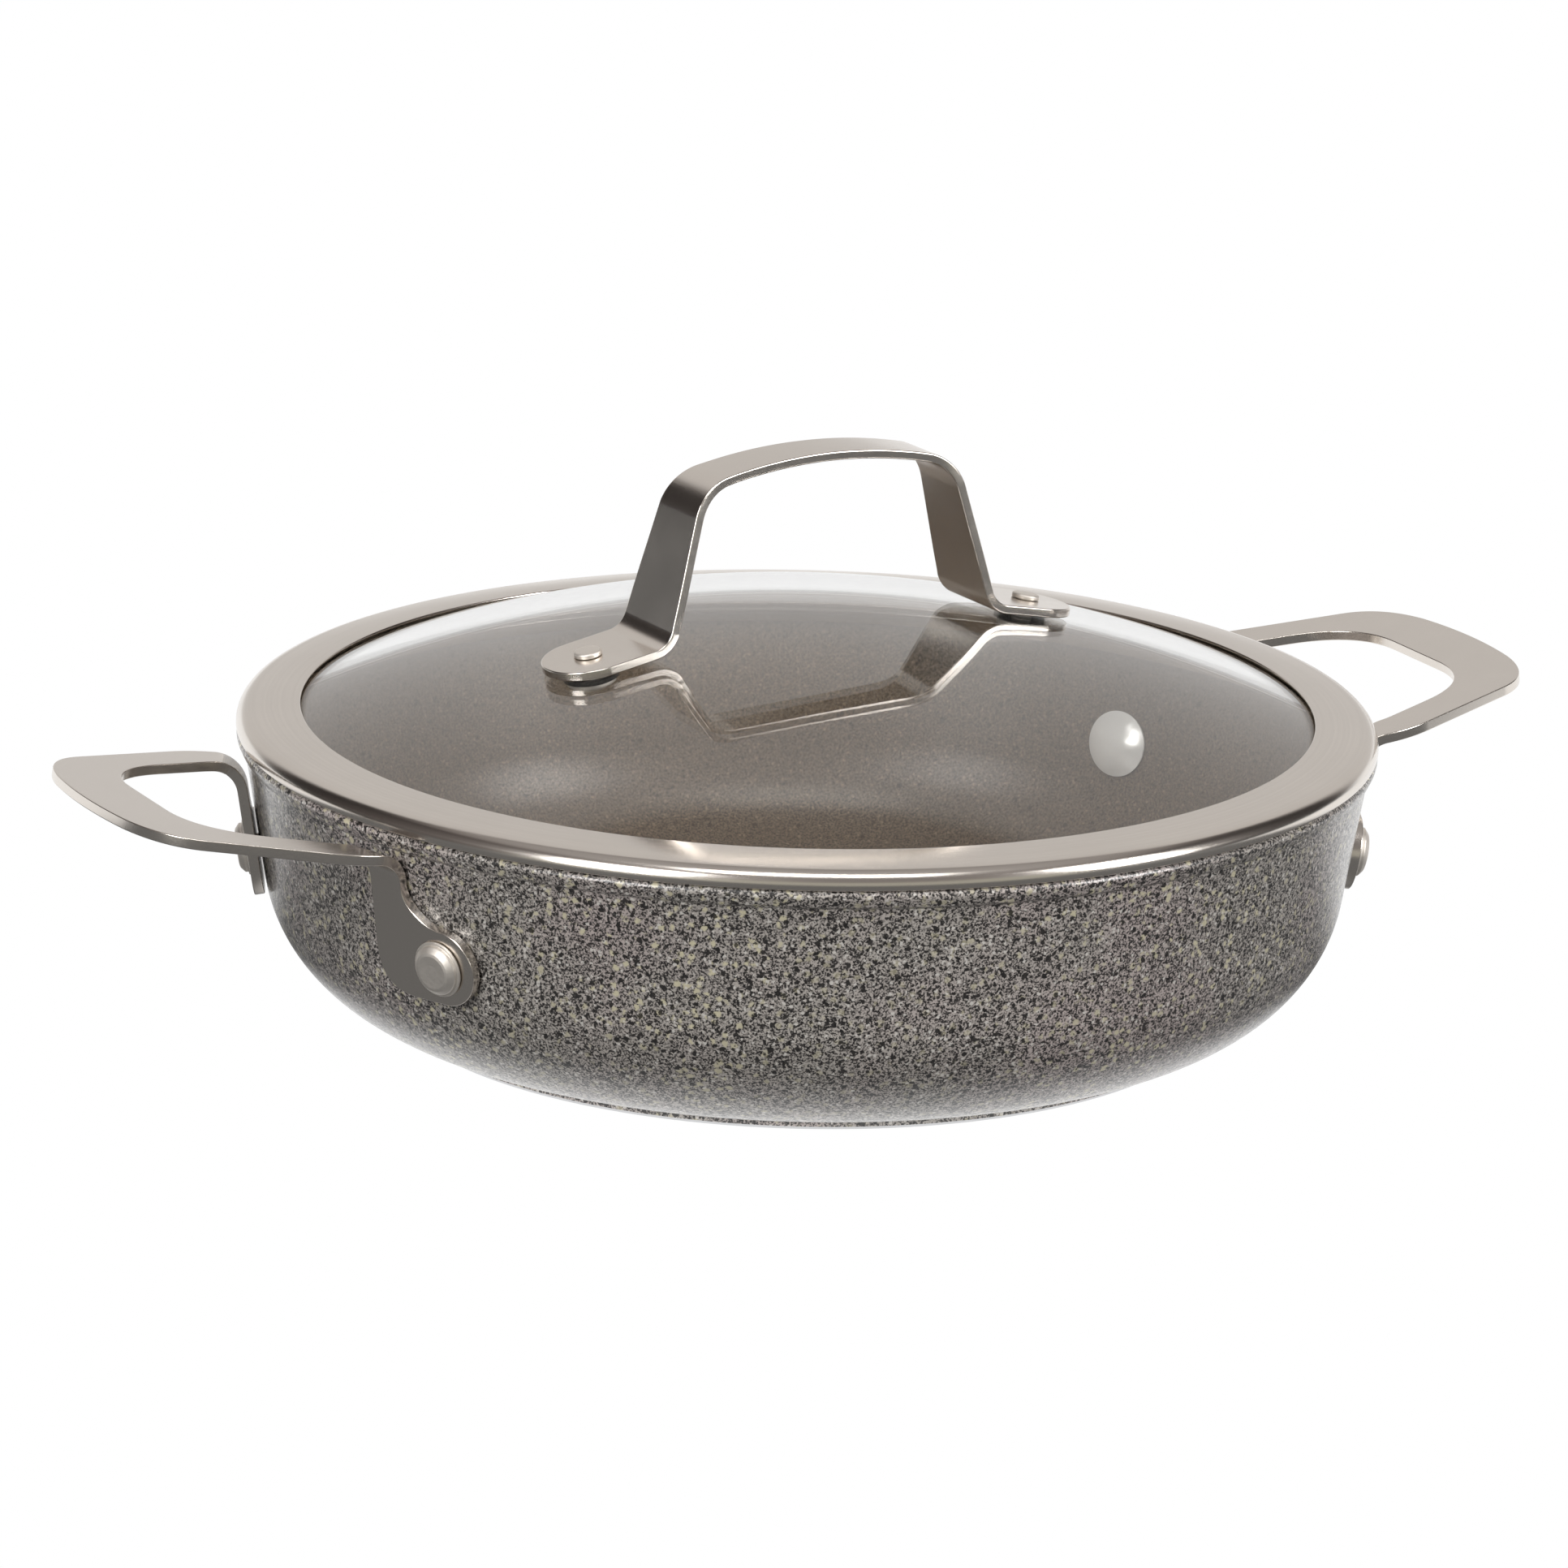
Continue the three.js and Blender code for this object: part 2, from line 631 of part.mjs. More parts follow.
const handleGeometry = sideHandle();
const handleRight = named('side_handle_right', handleGeometry, satinSteel);
const handleLeft = named('side_handle_left', handleGeometry, satinSteel);
handleLeft.rotation.z = Math.PI;
servingPan.add(handleRight, handleLeft);

const rivetGeometry = handleRivet();
for (const [place, angle] of Object.entries(rivetAngles)) {
  const rivet = named(`rivet_${place}`, rivetGeometry, rivetSteel);
  rivet.applyMatrix4(wallFrame(angle));
  servingPan.add(rivet);
}

const lid = new THREE.Group();
lid.name = 'lid';
lid.rotation.z = lidTurn;
lid.add(named('lid_rim_band', rimBand(), satinSteel));
lid.add(named('lid_glass', lidGlass(), clearGlass));
lid.add(named('lid_handle', lidHandle(), satinSteel));

const clearHole = lidShankRadius + rivetFit;
const gasket = ring(clearHole, gasketRadius, stackGap, stackGap + gasketThickness, rivetSteps);
const seal = ring(clearHole, sealRadius, sealTop - sealThickness, sealTop, rivetSteps);
const washer = ring(clearHole, washerRadius, washerTop - washerThickness, washerTop, rivetSteps);
const lidRivetGeometry = lidRivet();
for (const [place, side] of [['right', 1], ['left', -1]]) {
  const stack = new THREE.Group();
  stack.name = `lid_rivet_stack_${place}`;
  stack.applyMatrix4(footFrame(side));
  stack.add(named(`lid_rivet_${place}`, lidRivetGeometry, rivetSteel));
  stack.add(named(`lid_gasket_${place}`, gasket, darkSilicone));
  stack.add(named(`lid_seal_${place}`, seal, darkSilicone));
  stack.add(named(`lid_washer_${place}`, washer, rivetSteel));
  lid.add(stack);
}
servingPan.add(lid);

export default servingPan;
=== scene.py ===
import math
from functools import wraps
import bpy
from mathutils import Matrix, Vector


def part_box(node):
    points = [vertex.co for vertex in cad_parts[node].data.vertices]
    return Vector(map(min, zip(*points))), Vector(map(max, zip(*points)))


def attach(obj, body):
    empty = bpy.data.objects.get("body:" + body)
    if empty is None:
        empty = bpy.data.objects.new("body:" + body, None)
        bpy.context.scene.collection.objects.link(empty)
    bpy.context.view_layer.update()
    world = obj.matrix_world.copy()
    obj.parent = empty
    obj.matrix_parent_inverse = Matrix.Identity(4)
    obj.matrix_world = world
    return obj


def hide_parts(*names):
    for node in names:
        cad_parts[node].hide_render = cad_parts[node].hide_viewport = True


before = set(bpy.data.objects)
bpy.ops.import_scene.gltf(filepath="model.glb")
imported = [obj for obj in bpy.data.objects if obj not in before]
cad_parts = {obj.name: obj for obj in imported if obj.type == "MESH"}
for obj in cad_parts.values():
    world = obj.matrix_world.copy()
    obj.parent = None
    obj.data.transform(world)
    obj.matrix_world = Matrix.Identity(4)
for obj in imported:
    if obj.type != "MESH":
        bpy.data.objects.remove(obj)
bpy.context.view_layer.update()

from types import SimpleNamespace

import bpy
from bpy.props import FloatProperty, FloatVectorProperty, IntProperty, PointerProperty
from bpy.types import Operator, Panel, PropertyGroup
from mathutils import Matrix, Vector

bl_info = {
    "name": "Serving Pan with Glass Lid",
    "version": (1, 0, 0),
    "blender": (4, 5, 0),
    "location": "View3D > Sidebar > Serving Pan",
    "description": "Models a speckled serving pan with riveted loop handles and a glass lid",
    "category": "Object",
}

pan_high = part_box("pan_body")[1]
strap_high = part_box("lid_handle")[1]


def length(name, description, default):
    """A length in metres."""
    return FloatProperty(name=name, description=description, default=default, unit="LENGTH", precision=5)


def angle(name, description, degrees):
    """An angle, given in degrees."""
    return FloatProperty(name=name, description=description, default=math.radians(degrees), subtype="ANGLE")


def colour(name, description, default):
    """A colour without alpha."""
    return FloatVectorProperty(
        name=name, description=description, default=default, size=3, subtype="COLOR", min=0, max=1)


class PanSizes(PropertyGroup):
    """Sizes of the pan's body"""
    height: length("Height", "Height of the pan's rim above the table", pan_high.z)
    lip: length("Lip radius", "Radius of the lip's outer edge", pan_high.x)
    foot_inset: length("Foot inset", "How far the foot's edge stands inside the lip", 0.0385)
    corner: length("Outer corner", "Radius of the round corner between base and wall", 0.0379)
    corner_lift: length("Corner lift", "Height of the lowest point of the round corner", 0.00175)
    inner_corner: length("Inner corner", "Radius of the corner between floor and wall inside", 0.033)
    lean: angle("Wall lean", "How far the wall leans outwards", 9)
    wall: length("Wall", "Thickness of the wall", 0.0032)
    floor: length("Floor", "Thickness of the floor", 0.005)
    lip_overhang: length("Lip overhang", "How far the lip stands proud of the wall", 0.0025)
    lip_depth: length("Lip depth", "Height of the lip", 0.0039)
    lip_taper: length("Lip taper", "How much narrower the lip is at its lower corner", 0.0015)
    lip_step: length("Lip step", "Height of the slope under the lip", 0.0008)
    hub: length("Hub radius", "Radius of the round recess in the base", 0.021)
    ring: length("Ring radius", "Radius of the groove in the base", 0.062)
    steps: IntProperty(name="Steps", description="Steps round the pan", default=200, min=24)


class HandleSizes(PropertyGroup):
    """Sizes of the side handles and their rivets"""
    plate: length("Plate", "Thickness of the handle's plate", 0.0026)
    tilt: angle("Tilt", "How far the loop rises towards its tip", 8)
    height: length("Height", "Height of the plate's top above the table, at the lip's radius", 0.0675)
    tip: length("Tip", "Distance of the handle's tip from the pan's axis", 0.1952)
    grip: length("Grip depth", "Depth of the grip at the tip", 0.0169)
    bow: length("Grip bow", "Radius of the tip's bowed edge", 0.141)
    tip_half: length("Tip half width", "Half of the loop's width at the tip", 0.035)
    shoulder: length("Shoulder", "Distance of the widest place beyond the lip", 0.0007)
    shoulder_half: length("Shoulder half width", "Half of the loop's width at the shoulder", 0.0508)
    leg: length("Leg width", "Width of the loop's legs", 0.0109)
    outer_corner: length("Outer corner", "Length of the tip's outer corners", 0.015)
    inner_corner: length("Inner corner", "Length of the finger gap's corners", 0.018)
    bend: length("Bend", "Inner radius of the bend at the wall", 0.007)
    tab_gap: length("Tab gap", "Gap between tab and wall", 0.0003)
    lobe: length("Lobe", "Radius of the tab round its rivet", 0.0095)
    lobe_reach: length("Lobe reach", "How far the lobe's middle stands past its rivet", 0.001)
    heel: length("Heel", "Length of the tab's lower corner", 0.0115)
    neck: length("Neck", "How far the lobe's edge runs on before it turns up", 0.0035)
    strip_turn: length("Strip turn", "How far down the strip's edge stays straight", 0.014)
    strip_offset: length("Strip offset", "Distance of the strip from the rivet", 0.0102)
    strip: length("Strip width", "Width of the strip at the bend", 0.0093)
    edge: length("Edge", "Rounding of the plate's edges", 0.00045)
    rivet_angle: angle("Rivet angle", "Turn of each rivet from the handle's middle", 23.6)
    rivet_height: length("Rivet height", "Height of the rivets above the table", 0.040)
    head: length("Head radius", "Radius of the rivet's flat head", 0.0063)
    head_height: length("Head height", "Height of the rivet's head", 0.0027)
    collar: length("Collar radius", "Radius of the collar under the head", 0.0070)
    collar_height: length("Collar height", "Height of the collar under the head", 0.0006)
    dome: length("Dome radius", "Radius of the rivet's dome inside the pan", 0.0088)
    dome_height: length("Dome height", "Height of the rivet's dome inside the pan", 0.003)
    fit: length("Rivet fit", "Gap between a rivet and what it holds", 0.0003)
    shank: length("Shank radius", "Radius of the rivet's shank", 0.003)


class LidSizes(PropertyGroup):
    """Sizes of the lid's band and glass"""
    turn: angle("Turn", "How far the lid is turned on the pan", 3.4)
    seat: length("Seat gap", "Gap between the pan's rim and the lid", 0.0002)
    inset: length("Band inset", "How far the band stands inside the lip", 0.0003)
    width: length("Band width", "Width of the band's top", 0.0159)
    sheet: length("Sheet", "Thickness of the band's sheet", 0.0009)
    rise: length("Rise", "How much the band's top rises inwards", 0.0013)
    corner: length("Corner", "Radius of the band's upper corner", 0.0039)
    curl: length("Curl", "Radius of the band's lower corner", 0.0006)
    skirt: length("Skirt", "Height of the band above the rim", 0.0046)
    flange: length("Flange", "Depth of the flange inside the pan", 0.006)
    play: length("Play", "Gap between the flange and the pan's wall", 0.0012)
    setback: length("Brim setback", "How far the brim starts inside the band", 0.0028)
    glass: length("Glass", "Thickness of the glass", 0.004)
    dome: length("Dome", "Radius of the glass dome", 0.340)
    brim: length("Brim", "Width of the glass's brim", 0.005)
    fit: length("Glass fit", "Gap round the glass", 0.0003)
    steps: IntProperty(name="Steps", description="Steps round the lid", default=200, min=24)


class StrapSizes(PropertyGroup):
    """Sizes of the lid's handle and of what clamps it to the glass"""
    sheet: length("Sheet", "Thickness of the strap", 0.0023)
    reach: length("Reach", "Distance of the rivets from the lid's axis", 0.0628)
    top: length("Top", "Height of the strap's top above the table", strap_high.z)
    arch: length("Arch", "Radius of the strap's arch", 0.135)
    leg_reach: length("Leg reach", "Where the legs meet the feet", 0.0465)
    leg_lean: angle("Leg lean", "How far the legs lean inwards", 15.5)
    foot_bend: length("Foot bend", "Radius of the bend above the foot", 0.007)
    top_bend: length("Top bend", "Radius of the bend at the arch's ends", 0.012)
    foot_half: length("Foot half width", "Half of the foot's width", 0.0117)
    neck_start: length("Neck start", "Where the foot starts to narrow", 0.047)
    neck_pull: length("Neck pull", "How far the foot's edge runs on before it narrows", 0.0055)
    neck_end: length("Neck end", "Where the strap is narrow", 0.024)
    narrow_pull: length("Narrow pull", "How far the narrow edge runs on before it widens", 0.0145)
    narrow_half: length("Narrow half width", "Half of the strap's width above the neck", 0.0073)
    top_half: length("Top half width", "Half of the strap's width at its top", 0.007)
    edge: length("Edge", "Rounding of the strap's edges", 0.0004)
    stack: length("Stack gap", "Gap between the pieces of the stack", 0.0002)
    gasket: length("Gasket", "Thickness of the gasket under the foot", 0.0004)
    gasket_radius: length("Gasket radius", "Radius of the gasket under the foot", 0.006)
    seal: length("Seal", "Thickness of the seal under the glass", 0.001)
    seal_radius: length("Seal radius", "Radius of the seal under the glass", 0.007)
    washer: length("Washer", "Thickness of the washer", 0.001)
    washer_radius: length("Washer radius", "Radius of the washer", 0.006)
    shank: length("Shank radius", "Radius of the rivet's shank", 0.0025)
    fit: length("Hole fit", "Gap round the shank", 0.0003)
    head: length("Head radius", "Radius of the rivet's head", 0.0035)
    head_height: length("Head height", "Height of the rivet's head", 0.0012)
    end: length("End radius", "Radius of the rivet's lower end", 0.004)
    end_height: length("End height", "Height of the rivet's lower end", 0.001)


class PanFinishes(PropertyGroup):
    """Colours of the finishes"""
    coat_dark: colour("Coating dark", "Dark grains of the coating outside", (0.018, 0.015, 0.015))
    coat_light: colour("Coating light", "Light grains of the coating outside", (0.54, 0.47, 0.45))
    coat_cool: colour("Coating cool", "Light grains in the cooler patches", (0.50, 0.465, 0.43))
    coat_fleck: colour("Coating flecks", "Cream flecks of the coating outside", (0.66, 0.61, 0.44))
    coat_white: colour("Coating white", "White specks of the coating outside", (0.74, 0.71, 0.67))
    coat_black: colour("Coating black", "Black specks of the coating outside", (0.008, 0.007, 0.007))
    inside: colour("Inside", "Coating inside the pan", (0.099, 0.072, 0.049))
    steel: colour("Steel", "Satin steel of the band and the handles", (0.80, 0.745, 0.685))
    rivet: colour("Rivets", "Steel of the rivets", (0.86, 0.81, 0.75))
    dome: colour("Domes", "Pale domes of the rivets inside the pan", (0.90, 0.89, 0.87))
    glass: colour("Glass", "Tint of the glass", (0.985, 0.985, 0.975))
    silicone: colour("Silicone", "Gaskets and seals", (0.020, 0.018, 0.016))
    base: colour("Base", "Bare aluminium of the base", (0.70, 0.70, 0.71))


class StageSettings(PropertyGroup):
    """Floor, light and camera"""
    floor: length("Floor", "Radius of the floor", 6.0)
    spot: FloatVectorProperty(
        name="Camera place", description="Where the camera stands", size=3, subtype="TRANSLATION",
        default=(-0.9187473, -1.7170528, 0.6126))
    turn: FloatVectorProperty(
        name="Camera turn", description="How the camera is turned", size=3, subtype="EULER",
        default=(1.29241, -0.024615, -0.481476))
    ahead: FloatVectorProperty(
        name="Backdrop way", description="Level direction from the camera to the backdrop", size=3,
        subtype="DIRECTION", default=(0.4693, 0.8830, 0.0))
    lens: FloatProperty(name="Lens", description="Focal length in millimetres", default=186.335, min=10)


def show_only(piece):
    """Makes the piece the only one selected, and active."""
    bpy.ops.object.select_all(action="DESELECT")
    piece.select_set(True)
    bpy.context.view_layer.objects.active = piece


def fresh(name):
    """A new piece of one point at the origin, left in edit mode to be drawn on from there."""
    bpy.ops.object.select_all(action="DESELECT")
    bpy.ops.mesh.primitive_plane_add(size=0.01, location=(0, 0, 0))
    piece = bpy.context.object
    piece.name = name
    piece.data.name = name
    bpy.ops.object.mode_set(mode="EDIT")
    bpy.ops.mesh.select_all(action="SELECT")
    bpy.ops.mesh.merge(type="CENTER")
    return piece


def draw_line(spots):
    """Moves the selected point to the first spot, and draws edges from there through the others."""
    last = Vector((0, 0, 0))
    for index, spot in enumerate(spots):
        step = Vector(spot) - last
        if index == 0:
            bpy.ops.transform.translate(value=step)
        else:
            bpy.ops.mesh.extrude_region_move(TRANSFORM_OT_translate={"value": step})
        last = Vector(spot)


def tidy_faces():
    """Merges doubles and turns the faces outwards, in edit mode."""
    bpy.ops.mesh.select_all(action="SELECT")
    bpy.ops.mesh.remove_doubles(threshold=1e-6)
    bpy.ops.mesh.normals_make_consistent(inside=False)


def turned(name, profile, steps, smooth=32):
    """A piece turned about Z from a profile of (radius, height) spots."""
    piece = fresh(name)
    draw_line([(radius, 0, height) for radius, height in profile])
    bpy.ops.mesh.select_all(action="SELECT")
    bpy.ops.mesh.spin(steps=steps, angle=2 * math.pi, center=(0, 0, 0), axis=(0, 0, 1))
    tidy_faces()
    bpy.ops.object.mode_set(mode="OBJECT")
    bpy.ops.object.shade_smooth_by_angle(angle=math.radians(smooth))
    return piece


def arc(centre, radius, first, last, steps):
    """Spots along an arc, both ends included, angles in radians."""
    turns = [first + (last - first) * step / steps for step in range(steps + 1)]
    return [Vector((centre[0] + radius * math.cos(a), centre[1] + radius * math.sin(a))) for a in turns]


def rounded(corners, closed=False, steps=4):
    """A line through corners (across, up, radius), each rounded to its radius."""
    count = len(corners)
    line = []
    for index, (across, up, radius) in enumerate(corners):
        spot = Vector((across, up))
        if radius == 0 or (not closed and index in (0, count - 1)):
            line.append(spot)
            continue
        before = (Vector(corners[index - 1][:2]) - spot).normalized()
        after = (Vector(corners[(index + 1) % count][:2]) - spot).normalized()
        half = before.angle(after) / 2
        centre = spot + (before + after).normalized() * (radius / math.sin(half))
        start = spot + before * (radius / math.tan(half)) - centre
        end = spot + after * (radius / math.tan(half)) - centre
        first = math.atan2(start.y, start.x)
        sweep = math.atan2(start.x * end.y - start.y * end.x, start.dot(end))
        line += arc(centre, radius, first, first + sweep, steps)
    return line + line[:1] if closed else line


def curve(first, pull, last, steps):
    """Spots along a curve pulled towards one point, without its first spot."""
    shares = [step / steps for step in range(1, steps + 1)]
    return [first * (1 - s) ** 2 + pull * (2 * s * (1 - s)) + last * s ** 2 for s in shares]


def cubic(first, pull, later_pull, last, steps):
    """Spots along a curve pulled towards two points, without its first spot."""
    shares = [step / steps for step in range(1, steps + 1)]
    return [
        first * (1 - s) ** 3 + pull * (3 * s * (1 - s) ** 2)
        + later_pull * (3 * s * s * (1 - s)) + last * s ** 3
        for s in shares]


def frame_of(x_axis, y_axis, z_axis, spot):
    """A placing matrix from three axes and a spot."""
    matrix = Matrix((x_axis, y_axis, z_axis)).transposed().to_4x4()
    matrix.translation = spot
    return matrix


def place(piece, matrix):
    """Moves the piece and puts its place into its mesh."""
    show_only(piece)
    piece.matrix_world = matrix
    bpy.ops.object.transform_apply(location=True, rotation=True, scale=True)


def copied(piece, name):
    """A copy of the piece with its own mesh."""
    show_only(piece)
    bpy.ops.object.duplicate(linked=False)
    copy = bpy.context.object
    copy.name = name
    copy.data.name = name
    return copy


def apply_modifier(piece, name, kind, **values):
    """Adds a modifier with its values and applies it."""
    show_only(piece)
    modifier = piece.modifiers.new(name, kind)
    for key, value in values.items():
        setattr(modifier, key, value)
    bpy.ops.object.modifier_apply(modifier=modifier.name)


def folded(name, outline, bends):
    """A flat blank in the XY plane, folded down over lines across X.

    Each bend is (start, length, angle, folds) along X. A bend with an angle below zero folds up."""
    piece = fresh(name)
    draw_line([(spot.x, spot.y, 0) for spot in outline])
    bpy.ops.mesh.select_all(action="SELECT")
    bpy.ops.mesh.edge_face_add()
    hinges = []
    for start, run, sweep, folds in bends:
        for cut in range(folds + 1):
            bpy.ops.mesh.select_all(action="SELECT")
            bpy.ops.mesh.bisect(plane_co=(start + run * cut / folds, 0, 0), plane_no=(1, 0, 0))
        hinges += [(start + run * (fold + 0.5) / folds, sweep / folds) for fold in range(folds)]
    bpy.ops.object.mode_set(mode="OBJECT")
    flat = [vertex.co.x for vertex in piece.data.vertices]
    spot = Vector((0, 0, 0))
    turn = 0.0
    last = 0.0
    bpy.ops.object.mode_set(mode="EDIT")
    bpy.ops.mesh.select_mode(type="VERT")
    for along, step in hinges:
        spot += Vector((math.cos(turn), 0, -math.sin(turn))) * (along - last)
        bpy.ops.mesh.select_all(action="DESELECT")
        bpy.ops.object.mode_set(mode="OBJECT")
        for vertex in piece.data.vertices:
            vertex.select = flat[vertex.index] > along
        bpy.ops.object.mode_set(mode="EDIT")
        bpy.ops.transform.rotate(value=-step, orient_axis="Y", center_override=spot)
        turn += step
        last = along
    bpy.ops.object.mode_set(mode="OBJECT")
    return piece


def thickened(piece, sheet, edge):
    """Gives a folded blank its thickness, rounds its edges and smooths it."""
    show_only(piece)
    bpy.ops.object.mode_set(mode="EDIT")
    tidy_faces()
    bpy.ops.object.mode_set(mode="OBJECT")
    apply_modifier(
        piece, "Thickness", "SOLIDIFY", thickness=sheet, offset=0, use_even_offset=True,
        material_offset_rim=1)
    apply_modifier(
        piece, "Edges", "BEVEL", width=edge, segments=3, limit_method="ANGLE",
        angle_limit=math.radians(55), material=1)
    bpy.ops.object.shade_smooth()
    apply_modifier(piece, "Even shading", "WEIGHTED_NORMAL", mode="FACE_AREA", weight=90)


def finish_piece(piece, body, node, slot, *materials):
    """Gives the piece its materials, and puts it in the place of a node."""
    for material in materials:
        piece.data.materials.append(material)
    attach(piece, body)
    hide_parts(node)


class NodeBook:
    """Adds nodes to a tree and links them."""
    gap = 180

    def __init__(self, tree):
        self.tree = tree
        self.column = 0

    def add(self, kind, **values):
        """A node with its settings, and with its sockets set or linked by name."""
        made = self.tree.nodes.new(kind)
        made.location = (self.column * self.gap, 0)
        self.column += 1
        for key, value in values.items():
            if key in made.inputs:
                self.put(made.inputs[key], value)
            else:
                setattr(made, key, value)
        return made

    def put(self, socket, value):
        """Sets a socket, or links it if the value is another socket."""
        if isinstance(value, bpy.types.NodeSocket):
            self.tree.links.new(value, socket)
        else:
            socket.default_value = value

    def dress(self, shader, sockets):
        """Sets or links a shader's sockets by name."""
        for name, value in sockets.items():
            self.put(shader.inputs[name], value)

    def math(self, operation, *values, clamp=False):
        """Output of a Math node."""
        made = self.add("ShaderNodeMath", operation=operation, use_clamp=clamp)
        for socket, value in zip(made.inputs, values):
            self.put(socket, value)
        return made.outputs[0]

    def vector(self, operation, *values):
        """Output of a Vector Math node."""
        made = self.add("ShaderNodeVectorMath", operation=operation)
        sockets = (made.inputs[0], made.inputs["Scale"]) if operation == "SCALE" else made.inputs
        for socket, value in zip(sockets, values):
            self.put(socket, value)
        return made.outputs["Value" if operation in ("LENGTH", "DOT_PRODUCT") else "Vector"]

    def fit(self, value, low, high, new_low=0.0, new_high=1.0, smooth=False):
        """Output of a Map Range node."""
        made = self.add("ShaderNodeMapRange", clamp=True)
        made.interpolation_type = "SMOOTHSTEP" if smooth else "LINEAR"
        names = ("Value", "From Min", "From Max", "To Min", "To Max")
        self.dress(made, dict(zip(names, (value, low, high, new_low, new_high))))
        return made.outputs[0]

    def mix(self, share, first, second):
        """Output of a colour Mix node."""
        made = self.add("ShaderNodeMix", data_type="RGBA")
        self.put(made.inputs[0], share)
        for socket, value in ((made.inputs[6], first), (made.inputs[7], second)):
            self.put(socket, value if isinstance(value, bpy.types.NodeSocket) else rgba(value))
        return made.outputs[2]

    def place(self):
        """The object's own coordinates."""
        return self.add("ShaderNodeTexCoord").outputs["Object"]

    def cloud(self, scale, detail):
        """Soft noise over the object."""
        return self.add("ShaderNodeTexNoise", Vector=self.place(), Scale=scale, Detail=detail).outputs[0]

    def grain(self, size, contrast):
        """Value of the Grain group."""
        made = self.add("ShaderNodeGroup", node_tree=grain_group(), Size=size, Contrast=contrast)
        return made.outputs["Value"]

    def specks(self, size, share, spread, softness, shift=(0, 0, 0)):
        """Mask of the Specks group."""
        return self.add(
            "ShaderNodeGroup", node_tree=speck_group(), Size=size, Share=share, Spread=spread,
            Softness=softness, Shift=shift).outputs["Mask"]

    def bump(self, shader, height, strength, distance):
        """Puts a height into the shader's normal."""
        made = self.add("ShaderNodeBump", Height=height, Strength=strength, Distance=distance)
        self.put(shader.inputs["Normal"], made.outputs[0])


def rgba(colour_value):
    """A colour with full alpha."""
    return (*colour_value, 1.0)


def once(store, name):
    """Lets a maker run only while nothing of that name is there."""
    def wrap(make):
        @wraps(make)
        def found_or_made():
            return getattr(bpy.data, store).get(name) or make(name)
        return found_or_made
    return wrap


def new_group(name, inputs, outputs):
    """An empty shader group with named sockets; returns it with its book, its inputs and its outputs."""
    group = bpy.data.node_groups.new(name, "ShaderNodeTree")
    for socket, default in inputs.items():
        kind = "NodeSocketVector" if isinstance(default, tuple) else "NodeSocketFloat"
        made = group.interface.new_socket(name=socket, in_out="INPUT", socket_type=kind)
        made.default_value = default
    for socket in outputs:
        group.interface.new_socket(name=socket, in_out="OUTPUT", socket_type="NodeSocketFloat")
    book = NodeBook(group)
    return group, book, book.add("NodeGroupInput").outputs, book.add("NodeGroupOutput").inputs


@once("node_groups", "Specks")
def speck_group(name):
    """Specks: scattered spots of one size, with uneven edges."""
    group, book, given, out = new_group(
        name, {"Size": 0.001, "Share": 0.1, "Spread": 0.4, "Softness": 0.1, "Shift": (0, 0, 0)}, ["Mask"])
    moved = book.vector("ADD", book.place(), given["Shift"])
    scaled = book.vector("SCALE", moved, book.math("DIVIDE", 1.0, given["Size"]))
    wobble = book.add("ShaderNodeTexNoise", Vector=scaled, Scale=1.9, Detail=1.0).outputs["Color"]
    bent = book.vector("MULTIPLY_ADD", wobble, (0.8, 0.8, 0.8), scaled)
    cells = book.add("ShaderNodeTexVoronoi", Vector=bent, Scale=1.0).outputs
    lot = book.add("ShaderNodeSeparateColor", Color=cells["Color"]).outputs[0]
    kept = book.math("LESS_THAN", lot, given["Share"])
    low = book.math("SUBTRACT", given["Spread"], given["Softness"])
    near = book.fit(cells["Distance"], low, given["Spread"], 1.0, 0.0)
    book.put(out["Mask"], book.math("MULTIPLY", near, kept))
    return group


@once("node_groups", "Grain")
def grain_group(name):
    """Grain: fine even noise with a set contrast."""
    group, book, given, out = new_group(name, {"Size": 0.0005, "Contrast": 3.0}, ["Value"])
    scale = book.math("DIVIDE", 1.0, given["Size"])
    noise = book.add("ShaderNodeTexNoise", Vector=book.place(), Scale=scale, Detail=1.5, Roughness=0.6)
    away = book.math("SUBTRACT", noise.outputs[0], 0.5)
    book.put(out["Value"], book.math("MULTIPLY_ADD", away, given["Contrast"], 0.5, clamp=True))
    return group


def lined_group(name, inputs, cloud_scale, draw):
    """A group of fine lines with clouded roughness; draw gives the lines' height."""
    group, book, given, out = new_group(
        name, {**inputs, "Roughness": 0.25, "Spread": 0.1}, ["Roughness", "Height", "Cloud"])
    lines = draw(book, given)
    cloud = book.cloud(cloud_scale, 3.0)
    fine = book.math("MULTIPLY_ADD", book.math("SUBTRACT", lines, 0.5), given["Spread"], given["Roughness"])
    smear = book.math("MULTIPLY", book.math("SUBTRACT", cloud, 0.5), given["Spread"])
    book.put(out["Roughness"], book.math("ADD", fine, smear, clamp=True))
    book.put(out["Height"], lines)
    book.put(out["Cloud"], cloud)
    return group


@once("node_groups", "Brushed")
def brushed_group(name):
    """Brushed: long fine strokes along one direction, as roughness and height."""
    def strokes(book, given):
        drawn = book.vector("MULTIPLY", book.place(), given["Strokes"])
        return book.add("ShaderNodeTexNoise", Vector=drawn, Scale=1.0, Detail=3.0, Roughness=0.65).outputs[0]

    return lined_group(name, {"Strokes": (60, 1600, 1600)}, 55.0, strokes)


